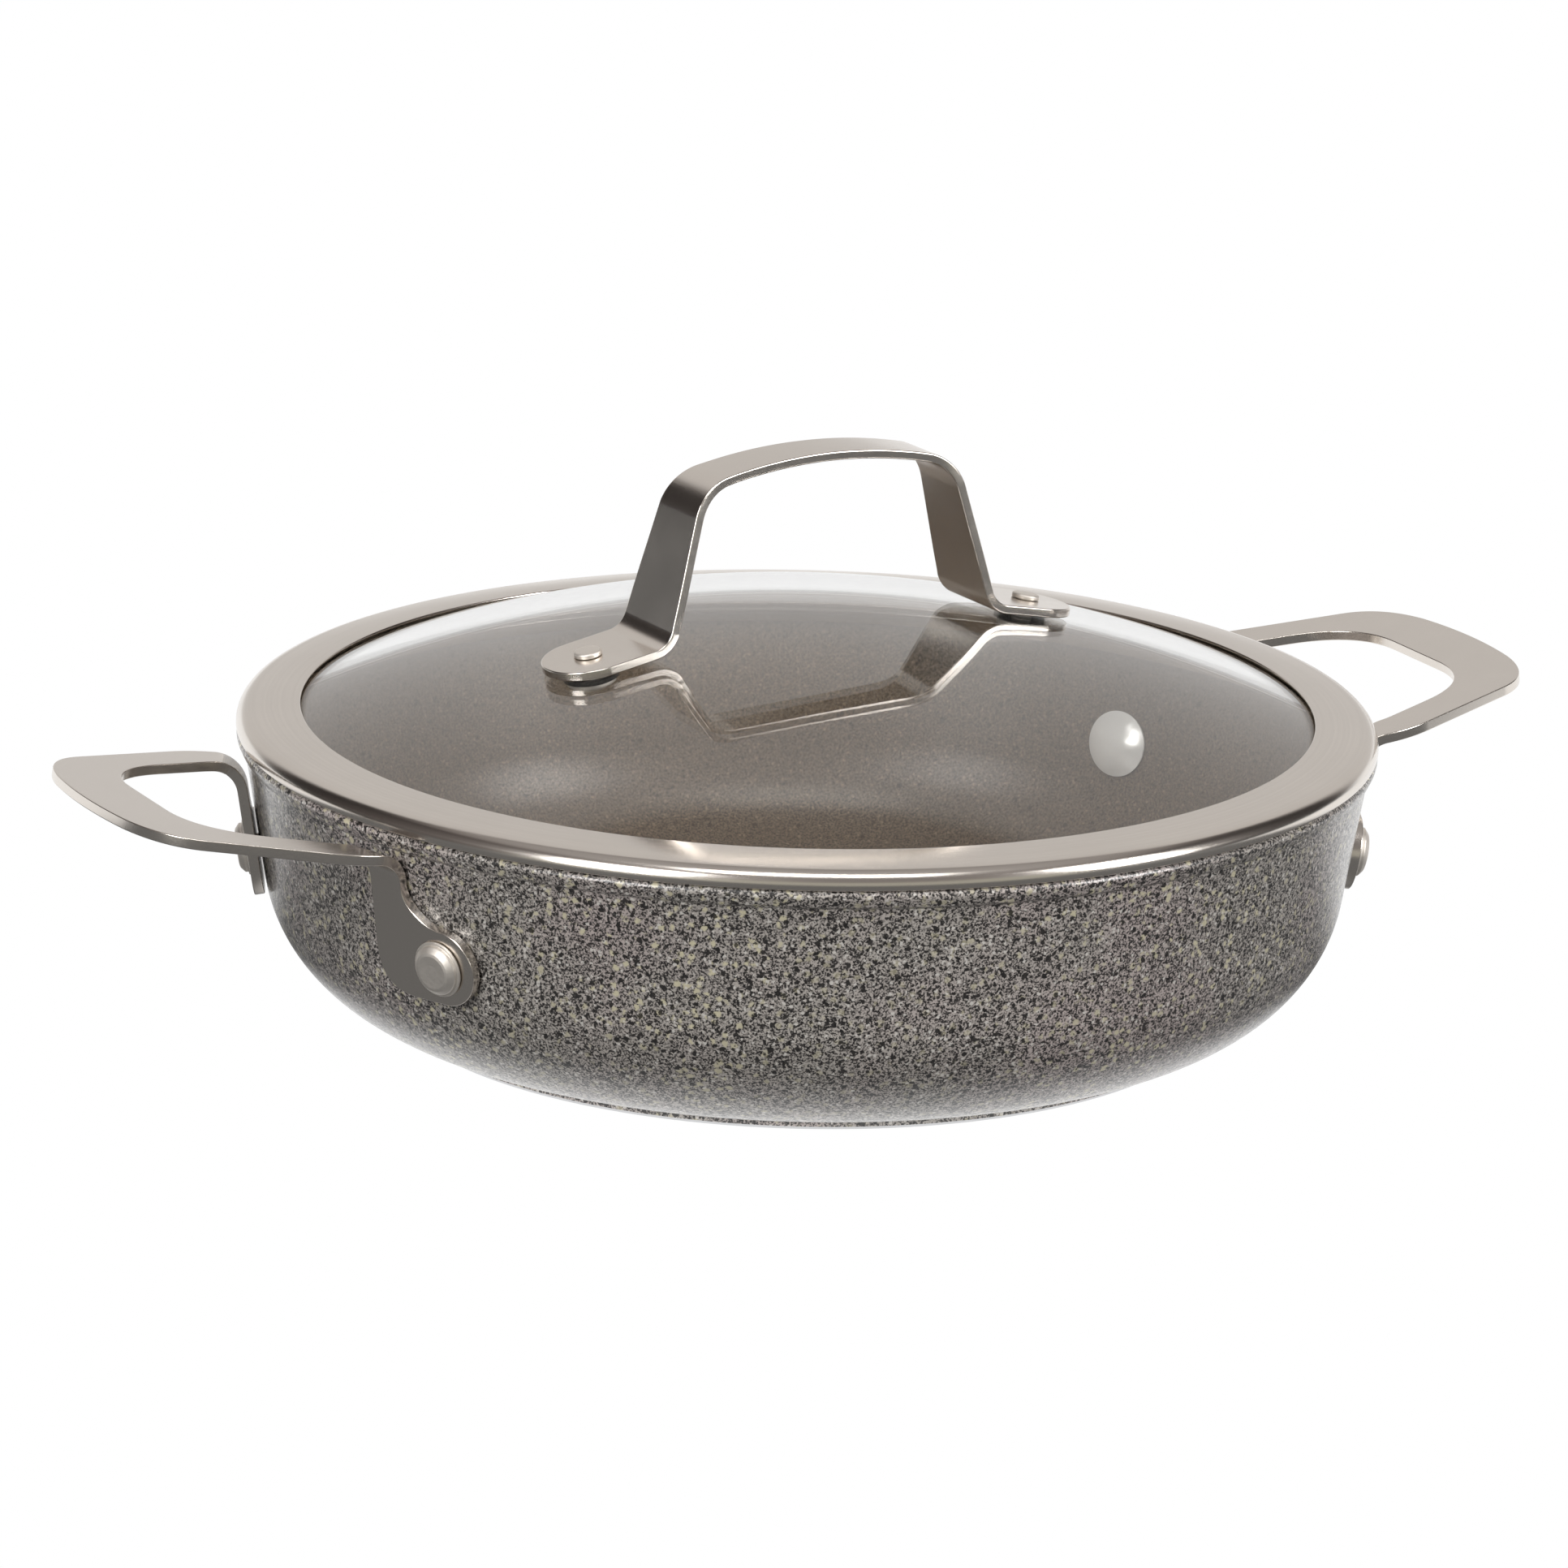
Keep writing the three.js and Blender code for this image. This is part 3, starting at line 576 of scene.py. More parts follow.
@once("node_groups", "Rings")
def rings_group(name):
    """Rings: fine turned lines round Z, as roughness and height."""
    def rings(book, given):
        split = book.add("ShaderNodeSeparateXYZ", Vector=book.place()).outputs
        flat = book.add("ShaderNodeCombineXYZ", X=split[0], Y=split[1]).outputs[0]
        spot = book.add("ShaderNodeCombineXYZ", X=book.vector("LENGTH", flat), Y=split[2]).outputs[0]
        scale = book.math("DIVIDE", 1.0, given["Pitch"])
        return book.add(
            "ShaderNodeTexNoise", Vector=spot, Scale=scale, Detail=2.0, noise_dimensions="2D").outputs[0]

    return lined_group(name, {"Pitch": 0.0005}, 40.0, rings)


def new_material(name):
    """A material with an empty tree, its book and its Principled shader, joined to the output."""
    material = bpy.data.materials.new(name)
    material.use_nodes = True
    material.node_tree.nodes.clear()
    book = NodeBook(material.node_tree)
    shader = book.add("ShaderNodeBsdfPrincipled")
    book.add("ShaderNodeOutputMaterial", Surface=shader.outputs[0])
    return material, book, shader


@once("materials", "stone_coating")
def speckled_coating(name):
    """Stone-look coating: salt-and-pepper grain, cream flecks, white specks and black specks."""
    colours = bpy.context.scene.pan_finishes
    material, book, shader = new_material(name)
    coarse = book.math("SUBTRACT", book.grain(0.0011, 3.0), 0.5)
    grain = book.math("MULTIPLY_ADD", coarse, 0.8, book.grain(0.00050, 9.0), clamp=True)
    warm = book.fit(book.cloud(24.0, 2.0), 0.36, 0.64, smooth=True)
    shade = book.mix(grain, colours.coat_dark, book.mix(warm, colours.coat_cool, colours.coat_light))
    patches = book.fit(book.cloud(16.0, 1.0), 0.40, 0.62)
    flecks = book.specks(0.0021, 0.38, 0.46, 0.18)
    flecks = book.math("MULTIPLY", flecks, book.math("MULTIPLY_ADD", patches, 0.56, 0.42))
    shade = book.mix(flecks, shade, colours.coat_fleck)
    white = book.specks(0.0013, 0.30, 0.40, 0.15, (0.31, 0.17, 0.05))
    shade = book.mix(book.math("MULTIPLY", white, 0.85), shade, colours.coat_white)
    black = book.specks(0.0018, 0.24, 0.43, 0.10, (0.11, 0.43, 0.27))
    fine_black = book.specks(0.0012, 0.32, 0.42, 0.12, (0.57, 0.08, 0.39))
    dark = book.math("MAXIMUM", black, book.math("MULTIPLY", fine_black, 0.95))
    shade = book.mix(book.math("MULTIPLY", dark, 0.92), shade, colours.coat_black)
    book.dress(shader, {
        "Base Color": shade, "Roughness": book.fit(grain, 0.0, 1.0, 0.34, 0.22), "Specular IOR Level": 0.6,
        "Coat Weight": 0.5, "Coat Roughness": 0.14})
    book.bump(shader, book.math("SUBTRACT", grain, dark), 0.22, 0.00010)
    return material


@once("materials", "inside_coating")
def inside_coating(name):
    """Smooth non-stick coating inside: fine brown-grey grain with pale and dark specks."""
    tone = Vector(bpy.context.scene.pan_finishes.inside)
    material, book, shader = new_material(name)
    grain = book.grain(0.0006, 2.6)
    shade = book.mix(grain, tone * 0.35, tone * 1.65)
    pale = book.specks(0.0013, 0.26, 0.38, 0.2)
    shade = book.mix(book.math("MULTIPLY", pale, 0.7), shade, tone * 2.5)
    dark = book.specks(0.0022, 0.14, 0.36, 0.15, (0.2, 0.6, 0.1))
    shade = book.mix(book.math("MULTIPLY", dark, 0.75), shade, tone * 0.2)
    shade = book.mix(book.fit(book.cloud(20.0, 2.0), 0.3, 0.7, 0.0, 0.18), shade, tone * 0.8)
    book.dress(shader, {"Base Color": shade, "Roughness": book.fit(grain, 0.0, 1.0, 0.40, 0.30)})
    book.bump(shader, grain, 0.12, 0.00008)
    return material


@once("materials", "bare_base")
def bare_base(name):
    """Turned aluminium under the pan."""
    tone = Vector(bpy.context.scene.pan_finishes.base)
    material, book, shader = new_material(name)
    rings = book.add(
        "ShaderNodeGroup", node_tree=rings_group(), Pitch=0.0009, Roughness=0.36, Spread=0.22).outputs
    shade = book.mix(rings["Cloud"], tone * 0.86, tone)
    book.dress(shader, {"Base Color": shade, "Roughness": rings["Roughness"], "Metallic": 1.0})
    book.bump(shader, rings["Height"], 0.3, 0.0001)
    return material


def steel_finish(name, tone, group, roughness, spread, height, **strokes):
    """Steel with fine strokes or turned lines, clouded here and there."""
    tone = Vector(tone)
    material, book, shader = new_material(name)
    lines = book.add(
        "ShaderNodeGroup", node_tree=group, Roughness=roughness, Spread=spread, **strokes).outputs
    streak = book.mix(lines["Height"], tone * 0.93, tone * 1.05)
    shade = book.mix(book.fit(lines["Cloud"], 0.3, 0.75, 0.0, 0.35), streak, tone * 0.90)
    book.dress(shader, {"Base Color": shade, "Roughness": lines["Roughness"], "Metallic": 1.0})
    book.bump(shader, lines["Height"], height, 0.00004)
    return material


@once("materials", "satin_sheet")
def satin_sheet(name):
    """Satin steel of the bent handles."""
    steel = bpy.context.scene.pan_finishes.steel
    return steel_finish(name, steel, brushed_group(), 0.21, 0.10, 0.10, Strokes=(90, 2600, 2600))


@once("materials", "satin_band")
def satin_band(name):
    """Satin steel of the lid's turned band."""
    return steel_finish(
        name, bpy.context.scene.pan_finishes.steel, rings_group(), 0.20, 0.07, 0.05, Pitch=0.0007)


@once("materials", "bright_edge")
def bright_edge(name):
    """Polished cut edges of the sheet, with a painted highlight: their steel is lighter than the faces'
    steel.
    """
    # Painted highlight: the edges' steel tone is raised 18 percent over the faces' same steel; the lower
    # roughness is the real polish.
    steel = Vector(bpy.context.scene.pan_finishes.steel) * 1.18
    return steel_finish(name, steel, brushed_group(), 0.11, 0.08, 0.04, Strokes=(700, 700, 700))


@once("materials", "scuffed_steel")
def rivet_steel(name):
    """Scuffed steel of the rivets."""
    steel = bpy.context.scene.pan_finishes.rivet
    return steel_finish(name, steel, brushed_group(), 0.52, 0.20, 0.22, Strokes=(900, 900, 2400))


@once("materials", "pale_dome")
def pale_dome(name):
    """Pale smooth domes of the rivets inside the pan."""
    tone = Vector(bpy.context.scene.pan_finishes.dome)
    material, book, shader = new_material(name)
    grain = book.grain(0.0006, 1.2)
    book.dress(shader, {
        "Base Color": book.mix(grain, tone * 0.92, tone), "Roughness": book.fit(grain, 0.0, 1.0, 0.22, 0.16),
        "Metallic": 0.35})
    book.bump(shader, grain, 0.04, 0.00005)
    return material


@once("materials", "clear_dome_glass")
def clear_glass(name):
    """Clear glass that lets lamps through, with faint smears."""
    tint = Vector(bpy.context.scene.pan_finishes.glass)
    material, book, shader = new_material(name)
    smear = book.cloud(30.0, 3.0)
    book.dress(shader, {
        "Base Color": book.mix(smear, tint, tint * 0.99), "Roughness": book.fit(smear, 0.55, 0.8, 0.0, 0.012),
        "IOR": 1.54, "Transmission Weight": 1.0})
    clear = book.add("ShaderNodeBsdfTransparent", Color=rgba(tint * 0.9))
    both = book.add("ShaderNodeMixShader")
    shadow_ray = book.add("ShaderNodeLightPath").outputs["Is Shadow Ray"]
    for socket, value in zip(both.inputs, (shadow_ray, shader.outputs[0], clear.outputs[0])):
        book.put(socket, value)
    output = next(n for n in material.node_tree.nodes if n.bl_idname == "ShaderNodeOutputMaterial")
    book.put(output.inputs["Surface"], both.outputs[0])
    return material


@once("materials", "matt_silicone")
def dark_silicone(name):
    """Matt silicone of gaskets and seals."""
    tone = Vector(bpy.context.scene.pan_finishes.silicone)
    material, book, shader = new_material(name)
    grain = book.grain(0.0004, 2.0)
    book.dress(shader, {
        "Base Color": book.mix(grain, tone * 0.7, tone * 1.5),
        "Roughness": book.fit(grain, 0.0, 1.0, 0.55, 0.75)})
    book.bump(shader, grain, 0.1, 0.00005)
    return material


def wall_radius(height):
    """Radius of the pan's outer wall at a height."""
    pan = bpy.context.scene.pan_sizes
    top = pan.height - pan.lip_depth - pan.lip_step
    return pan.lip - pan.lip_overhang - math.tan(pan.lean) * (top - height)


def mouth_radius(height):
    """Radius of the pan's inner wall at a height."""
    pan = bpy.context.scene.pan_sizes
    return wall_radius(height) - pan.wall / math.cos(pan.lean)


def corner_arc(radius_at, floor, radius, steps, first_radius=None):
    """Round corner between a level floor and the leaning wall, from its lowest spot up."""
    lean = bpy.context.scene.pan_sizes.lean
    middle = floor + radius
    centre = radius_at(middle - radius * math.sin(lean)) - radius * math.cos(lean)
    first = -math.pi / 2 if first_radius is None else -math.acos((first_radius - centre) / radius)
    return arc((centre, middle), radius, first, -lean, steps)


def wall_frame(turn):
    """Frame at a rivet on the wall: x along the wall, y up the wall, z straight out of it."""
    sizes = bpy.context.scene.handle_sizes
    lean = bpy.context.scene.pan_sizes.lean
    away = Vector((math.cos(turn) * math.cos(lean), math.sin(turn) * math.cos(lean), -math.sin(lean)))
    along = Vector((-math.sin(turn), math.cos(turn), 0))
    radius = wall_radius(sizes.rivet_height)
    spot = Vector((radius * math.cos(turn), radius * math.sin(turn), sizes.rivet_height))
    return frame_of(along, away.cross(along), away, spot)


class SERVINGPAN_OT_pan(Operator):
    """Turn the pan's body from its profile, and coat it"""
    bl_idname = "serving_pan.pan"
    bl_label = "Pan"

    def execute(self, context):
        pan = context.scene.pan_sizes
        foot = pan.lip - pan.foot_inset
        foot_height = 0.0022
        groove, groove_floor, groove_top = 0.0006, 0.0009, 0.0015
        base = rounded([
            (0, groove, 0), (pan.hub - groove, groove, 0), (pan.hub, 0, 0.0003),
            (pan.ring - groove_top, 0, 0.0003), (pan.ring - groove_floor, groove, 0.0002),
            (pan.ring + groove_floor, groove, 0.0002), (pan.ring + groove_top, 0, 0.0003),
            (foot, 0, 0.0008), (foot, foot_height, 0)])
        corner = corner_arc(wall_radius, pan.corner_lift, pan.corner, 26, foot)
        top = pan.height - pan.lip_depth - pan.lip_step
        rim = pan.height - pan.lip_depth
        mouth = mouth_radius(pan.height)
        side = corner[-1]
        lip_lean, lip_edge = 0.0002, 0.0012
        loops = [pan.height - depth for depth in (0.012, 0.018, 0.026)]
        lip = rounded([
            (side.x, side.y, 0), (wall_radius(top), top, 0.0002), (pan.lip - pan.lip_taper, rim, 0.0003),
            (pan.lip - lip_lean, pan.height - lip_edge, 0.0014), (pan.lip - lip_edge, pan.height, 0.0008),
            (mouth, pan.height, 0.0015), (mouth_radius(loops[0]), loops[0], 0)], steps=5)
        hollow = corner_arc(mouth_radius, pan.floor, pan.inner_corner, 26)
        hollow.reverse()
        wall = [Vector((mouth_radius(height), height)) for height in loops[1:]]
        floor = [Vector((radius, pan.floor)) for radius in (0.06, 0)]
        piece = turned("pan", base + corner + lip[1:] + wall + hollow + floor, pan.steps)
        finish_piece(
            piece, "pan", "pan_body", "speckled_coating", speckled_coating(), inside_coating(), bare_base())
        inside_top, inside_low, base_top = pan.height - lip_edge, 0.004, 0.0007
        for face in piece.data.polygons:
            spot = face.center
            inward = face.normal.x * spot.x + face.normal.y * spot.y < 0
            if inside_low < spot.z < inside_top and (inward or face.normal.z > 0.9):
                face.material_index = 1
            elif spot.z < base_top:
                face.material_index = 2
        return {"FINISHED"}


def bend_of(turn):
    """Bend between a side handle's plate and one tab: its frame, its sweep and the tab's top."""
    sizes = bpy.context.scene.handle_sizes
    lip = bpy.context.scene.pan_sizes.lip
    wall = wall_frame(turn)
    to_wall = -wall.col[2].to_3d()
    plate_up = Vector((-math.sin(sizes.tilt), 0, math.cos(sizes.tilt)))
    axis = plate_up.cross(to_wall)
    sweep = math.atan2(axis.length, plate_up.dot(to_wall))
    axis.normalize()
    outside = sizes.bend + sizes.plate
    distances = Vector((
        plate_up.dot(Vector((lip, 0, sizes.height))) - outside,
        to_wall.dot(wall.translation) - sizes.tab_gap - outside,
        axis.dot(wall.translation)))
    centre = Matrix((plate_up, to_wall, axis)).inverted() @ distances
    frame_here = frame_of(axis.cross(plate_up), axis, plate_up, centre)
    return frame_here, sweep, (wall.inverted() @ centre).y


def handle_half():
    """Half of a side handle's flat blank, x towards the wall from the bend's start, and the bend."""
    sizes = bpy.context.scene.handle_sizes
    lip = bpy.context.scene.pan_sizes.lip
    bend, sweep, tab_top = bend_of(sizes.rivet_angle)
    back = bend.inverted()
    wall = wall_frame(sizes.rivet_angle)
    middle = sizes.bend + sizes.plate / 2
    plate = (Matrix.Translation((lip, 0, sizes.height)) @ Matrix.Rotation(-sizes.tilt, 4, "Y")
             @ Matrix.Translation((-lip, 0, 0)))

    def from_above(spot):
        """A spot of the loop seen from above, laid flat."""
        there = back @ plate @ Vector((spot.x, spot.y, -sizes.plate / 2))
        edge = middle * math.sin(sweep)
        if there.x <= 0:
            flat = there.x
        elif there.x < edge:
            flat = middle * math.asin(there.x / middle)
        else:
            flat = middle * sweep + (there.x - edge) / math.cos(sweep)
        return Vector((flat, there.y))

    def from_wall(spot):
        """A spot of the tab on the wall, laid flat."""
        there = back @ wall @ Vector((spot.x, spot.y, sizes.tab_gap + sizes.plate / 2))
        return Vector((middle * sweep + there.x * math.cos(sweep) - there.z * math.sin(sweep), there.y))

    def strip_spot(along):
        """Where an edge of the strip meets the bend, seen from above."""
        there = wall @ Vector((-along, tab_top, sizes.tab_gap + sizes.plate / 2))
        return (plate.inverted() @ there).to_2d()

    shoulder = lip + sizes.shoulder
    slope = math.atan2(sizes.shoulder_half - sizes.tip_half, sizes.tip - shoulder)

    def outer_edge(x):
        return sizes.shoulder_half - math.tan(slope) * (x - shoulder)

    def inner_edge(x):
        return outer_edge(x) - sizes.leg / math.cos(slope)

    def bow(y):
        return sizes.bow - math.sqrt(sizes.bow ** 2 - y ** 2)

    strip_inner = sizes.strip_offset + sizes.strip
    root = strip_spot(sizes.strip_offset)
    rise = math.sin(sizes.rivet_angle) + math.tan(slope) * math.cos(sizes.rivet_angle)
    run = (outer_edge(root.x) - root.y) / rise
    turn_x = root.x + run * math.cos(sizes.rivet_angle)
    turn_end = turn_x + run * math.cos(slope)
    widest = Vector((turn_end, outer_edge(turn_end)))
    corner_x = sizes.tip - sizes.outer_corner
    corner = Vector((corner_x, outer_edge(corner_x)))
    square_x = sizes.tip - bow(sizes.tip_half)
    tip_y = sizes.tip_half - sizes.outer_corner
    bowed = Vector((sizes.tip - bow(tip_y), tip_y))
    outer = [root]
    outer += curve(root, Vector((turn_x, outer_edge(turn_x))), widest, 14)
    outer.append(corner)
    outer += curve(corner, Vector((square_x, outer_edge(square_x))), bowed, 18)
    outer += curve(bowed, Vector((sizes.tip, tip_y / 2)), Vector((sizes.tip, 0)), 8)

    tip_x = sizes.tip - sizes.grip
    inner_x = tip_x - sizes.inner_corner
    hollow = strip_spot(strip_inner)
    hollow_end = (hollow.x + inner_x) / 2
    hollow_turn = (hollow.x + hollow_end) / 2
    gap = Vector((inner_x, inner_edge(inner_x)))
    inner = [hollow]
    inner += curve(
        hollow, Vector((hollow_turn, inner_edge(hollow_turn))),
        Vector((hollow_end, inner_edge(hollow_end))), 14)
    inner.append(gap)
    inner += curve(
        gap, Vector((tip_x, inner_edge(tip_x))), Vector((tip_x, inner_edge(tip_x) - sizes.inner_corner)), 18)
    inner.append(Vector((tip_x, 0)))

    top = tab_top + sizes.tab_gap
    lobe = sizes.lobe
    boot = cubic(
        Vector((-sizes.strip_offset, top)), Vector((-sizes.strip_offset, sizes.strip_turn)),
        Vector((-sizes.neck, lobe)), Vector((sizes.lobe_reach, lobe)), 16)
    boot += arc((sizes.lobe_reach, 0), lobe, math.pi / 2, -math.pi / 2, 26)[1:]
    heel = Vector((sizes.heel - strip_inner, -lobe))
    boot.append(heel)
    boot += curve(heel, Vector((-strip_inner, -lobe)), Vector((-strip_inner, sizes.heel - lobe)), 14)

    outline = [from_above(spot) for spot in reversed(outer)]
    outline += [from_wall(spot) for spot in boot]
    outline += [from_above(spot) for spot in inner]
    return bend, outline, middle, sweep


class SERVINGPAN_OT_side_handles(Operator):
    """Fold the two side handles from flat plates"""
    bl_idname = "serving_pan.side_handles"
    bl_label = "Side Handles"

    def execute(self, context):
        sizes = context.scene.handle_sizes
        bend, outline, middle, sweep = handle_half()
        piece = folded("handle_right", outline, [(0, middle * sweep, sweep, 14)])
        place(piece, bend @ Matrix.Translation((0, 0, middle)))
        apply_modifier(
            piece, "Other half", "MIRROR", use_axis=(False, True, False), merge_threshold=1e-5)
        thickened(piece, sizes.plate, sizes.edge)
        other = copied(piece, "handle_left")
        place(other, Matrix.Rotation(math.pi, 4, "Z"))
        finish_piece(piece, "pan", "side_handle_right", "satin_steel", satin_sheet(), bright_edge())
        finish_piece(other, "pan", "side_handle_left", "satin_steel", satin_sheet(), bright_edge())
        return {"FINISHED"}


class SERVINGPAN_OT_handle_rivets(Operator):
    """Turn one rivet, and copy it to the four tabs"""
    bl_idname = "serving_pan.handle_rivets"
    bl_label = "Handle Rivets"

    def execute(self, context):
        sizes = context.scene.handle_sizes
        pan = context.scene.pan_sizes
        sag = sizes.dome ** 2 / (2 * mouth_radius(sizes.rivet_height))
        seat = -pan.wall - sag - sizes.fit
        dome_edge = 0.0007
        cap = sizes.dome_height - dome_edge
        cap_radius = (sizes.dome ** 2 + cap ** 2) / (2 * cap)
        cap_angle = math.asin(sizes.dome / cap_radius)
        cap_centre = (0, seat - sizes.dome_height + cap_radius)
        dome = arc(cap_centre, cap_radius, -math.pi / 2, cap_angle - math.pi / 2, 10)
        head_seat = sizes.tab_gap + sizes.plate + sizes.fit
        collar_top = head_seat + sizes.collar_height
        head_top = head_seat + sizes.head_height
        head_side, head_slope, head_flat = sizes.head - 0.0001, sizes.head - 0.0014, sizes.head - 0.0021
        head_middle = head_top - 0.00012
        head = rounded([
            (sizes.dome, dome[-1].y, 0), (sizes.dome, seat, 0.0003), (sizes.shank, seat, 0),
            (sizes.shank, head_seat, 0), (sizes.collar, head_seat, 0.0002),
            (sizes.collar, collar_top, 0.0003), (head_side, collar_top, 0.0002),
            (head_side, head_top - 0.0013, 0.0006),
            (head_slope, head_top - 0.0002, 0.0006), (head_flat, head_top, 0.0005),
            (sizes.head * 0.3, head_middle, 0.004), (0, head_middle, 0)], steps=5)
        first = turned("handle_rivet_right_back", dome + head[1:], 56)
        for face in first.data.polygons:
            face.material_index = 1 if face.center.z < seat + 0.0001 else 0
        turn = sizes.rivet_angle
        pieces = {first: turn}
        others = {"right_front": -turn, "left_front": math.pi + turn, "left_back": math.pi - turn}
        for name, where in others.items():
            pieces[copied(first, "handle_rivet_" + name)] = where
        for piece, where in pieces.items():
            place(piece, wall_frame(where))
            node = piece.name.replace("handle_", "")
            finish_piece(piece, "pan", node, "rivet_steel", rivet_steel(), pale_dome())
        return {"FINISHED"}


def dome_drop(radius):
    """How far the glass dome falls from its top to a radius."""
    dome = bpy.context.scene.lid_sizes.dome
    return dome - math.sqrt(dome ** 2 - radius ** 2)


def lid_heights():
    """Radii and heights that the lid's pieces share."""
    lid = bpy.context.scene.lid_sizes
    pan = bpy.context.scene.pan_sizes
    seat = pan.height + lid.seat
    outer = pan.lip - lid.inset
    inner = outer - lid.width
    inner_top = seat + lid.skirt + lid.rise
    glass_top = inner_top - lid.sheet - lid.fit + dome_drop(inner)
    brim_start = inner + lid.setback
    return SimpleNamespace(
        seat=seat, outer=outer, inner=inner, inner_top=inner_top, glass_top=glass_top,
        brim_start=brim_start, brim_top=glass_top - dome_drop(brim_start))


class SERVINGPAN_OT_lid_band(Operator):
    """Turn the rolled steel band of the lid"""
    bl_idname = "serving_pan.lid_band"
    bl_label = "Lid Band"

    def execute(self, context):
        lid = context.scene.lid_sizes
        pan = context.scene.pan_sizes
        at = lid_heights()
        top = at.seat + lid.skirt
        sheet = lid.sheet
        flange = mouth_radius(pan.height - lid.flange) - lid.play
        low = at.seat - lid.flange
        groove = at.brim_start + lid.brim + lid.fit
        hook = at.brim_top - lid.glass - lid.fit
        flange_edge, flange_bend, inner_edge, hook_edge = 0.00035, 0.0006, 0.00042, 0.0003
        profile = rounded([
            (flange - sheet, low, flange_edge), (flange, low, flange_edge), (flange, at.seat, flange_bend),
            (at.outer, at.seat, lid.curl), (at.outer, top, lid.corner),
            (at.inner, at.inner_top, inner_edge), (at.inner, at.inner_top - sheet, inner_edge),
            (at.outer - sheet, top - sheet, lid.corner - sheet), (at.outer - sheet, at.seat + sheet, 0),
            (groove, at.seat + sheet, 0), (groove, hook, 0), (at.brim_start, hook, hook_edge),
            (at.brim_start, hook - sheet, hook_edge), (flange - sheet, hook - sheet, 0)],
            closed=True, steps=8)
        piece = turned("lid_band", profile, lid.steps)
        finish_piece(piece, "lid", "lid_rim_band", "satin_steel", satin_band())
        return {"FINISHED"}


class SERVINGPAN_OT_lid_glass(Operator):
    """Turn the domed glass"""
    bl_idname = "serving_pan.lid_glass"
    bl_label = "Lid Glass"

    def execute(self, context):
        lid = context.scene.lid_sizes
        at = lid_heights()
        centre = at.glass_top - lid.dome
        under = lid.dome - lid.glass
        bottom = at.brim_top - lid.glass
        edge = at.brim_start + lid.brim
        edge_round = 0.0016
        below = arc((0, centre), under, math.pi / 2, math.asin((bottom - centre) / under), 60)
        above = arc((0, centre), lid.dome, math.acos(at.brim_start / lid.dome), math.pi / 2, 60)
        brim = rounded([
            (below[-1].x, bottom, 0), (edge, bottom, edge_round), (edge, at.brim_top, edge_round),
            (at.brim_start, at.brim_top, 0)], steps=6)
        piece = turned("glass", below + brim[1:-1] + above, lid.steps, 40)
        finish_piece(piece, "lid", "lid_glass", "clear_glass", clear_glass())
        return {"FINISHED"}


def foot_frame(side):
    """Frame of a rivet on the lid, z straight out of the glass; side is +1 or -1."""
    strap = bpy.context.scene.strap_sizes
    lid = bpy.context.scene.lid_sizes
    slope = math.asin(strap.reach / lid.dome)
    spot = Vector((side * strap.reach, 0, lid_heights().glass_top - dome_drop(strap.reach)))
    return (Matrix.Rotation(lid.turn, 4, "Z") @ Matrix.Translation(spot)
            @ Matrix.Rotation(side * slope, 4, "Y"))


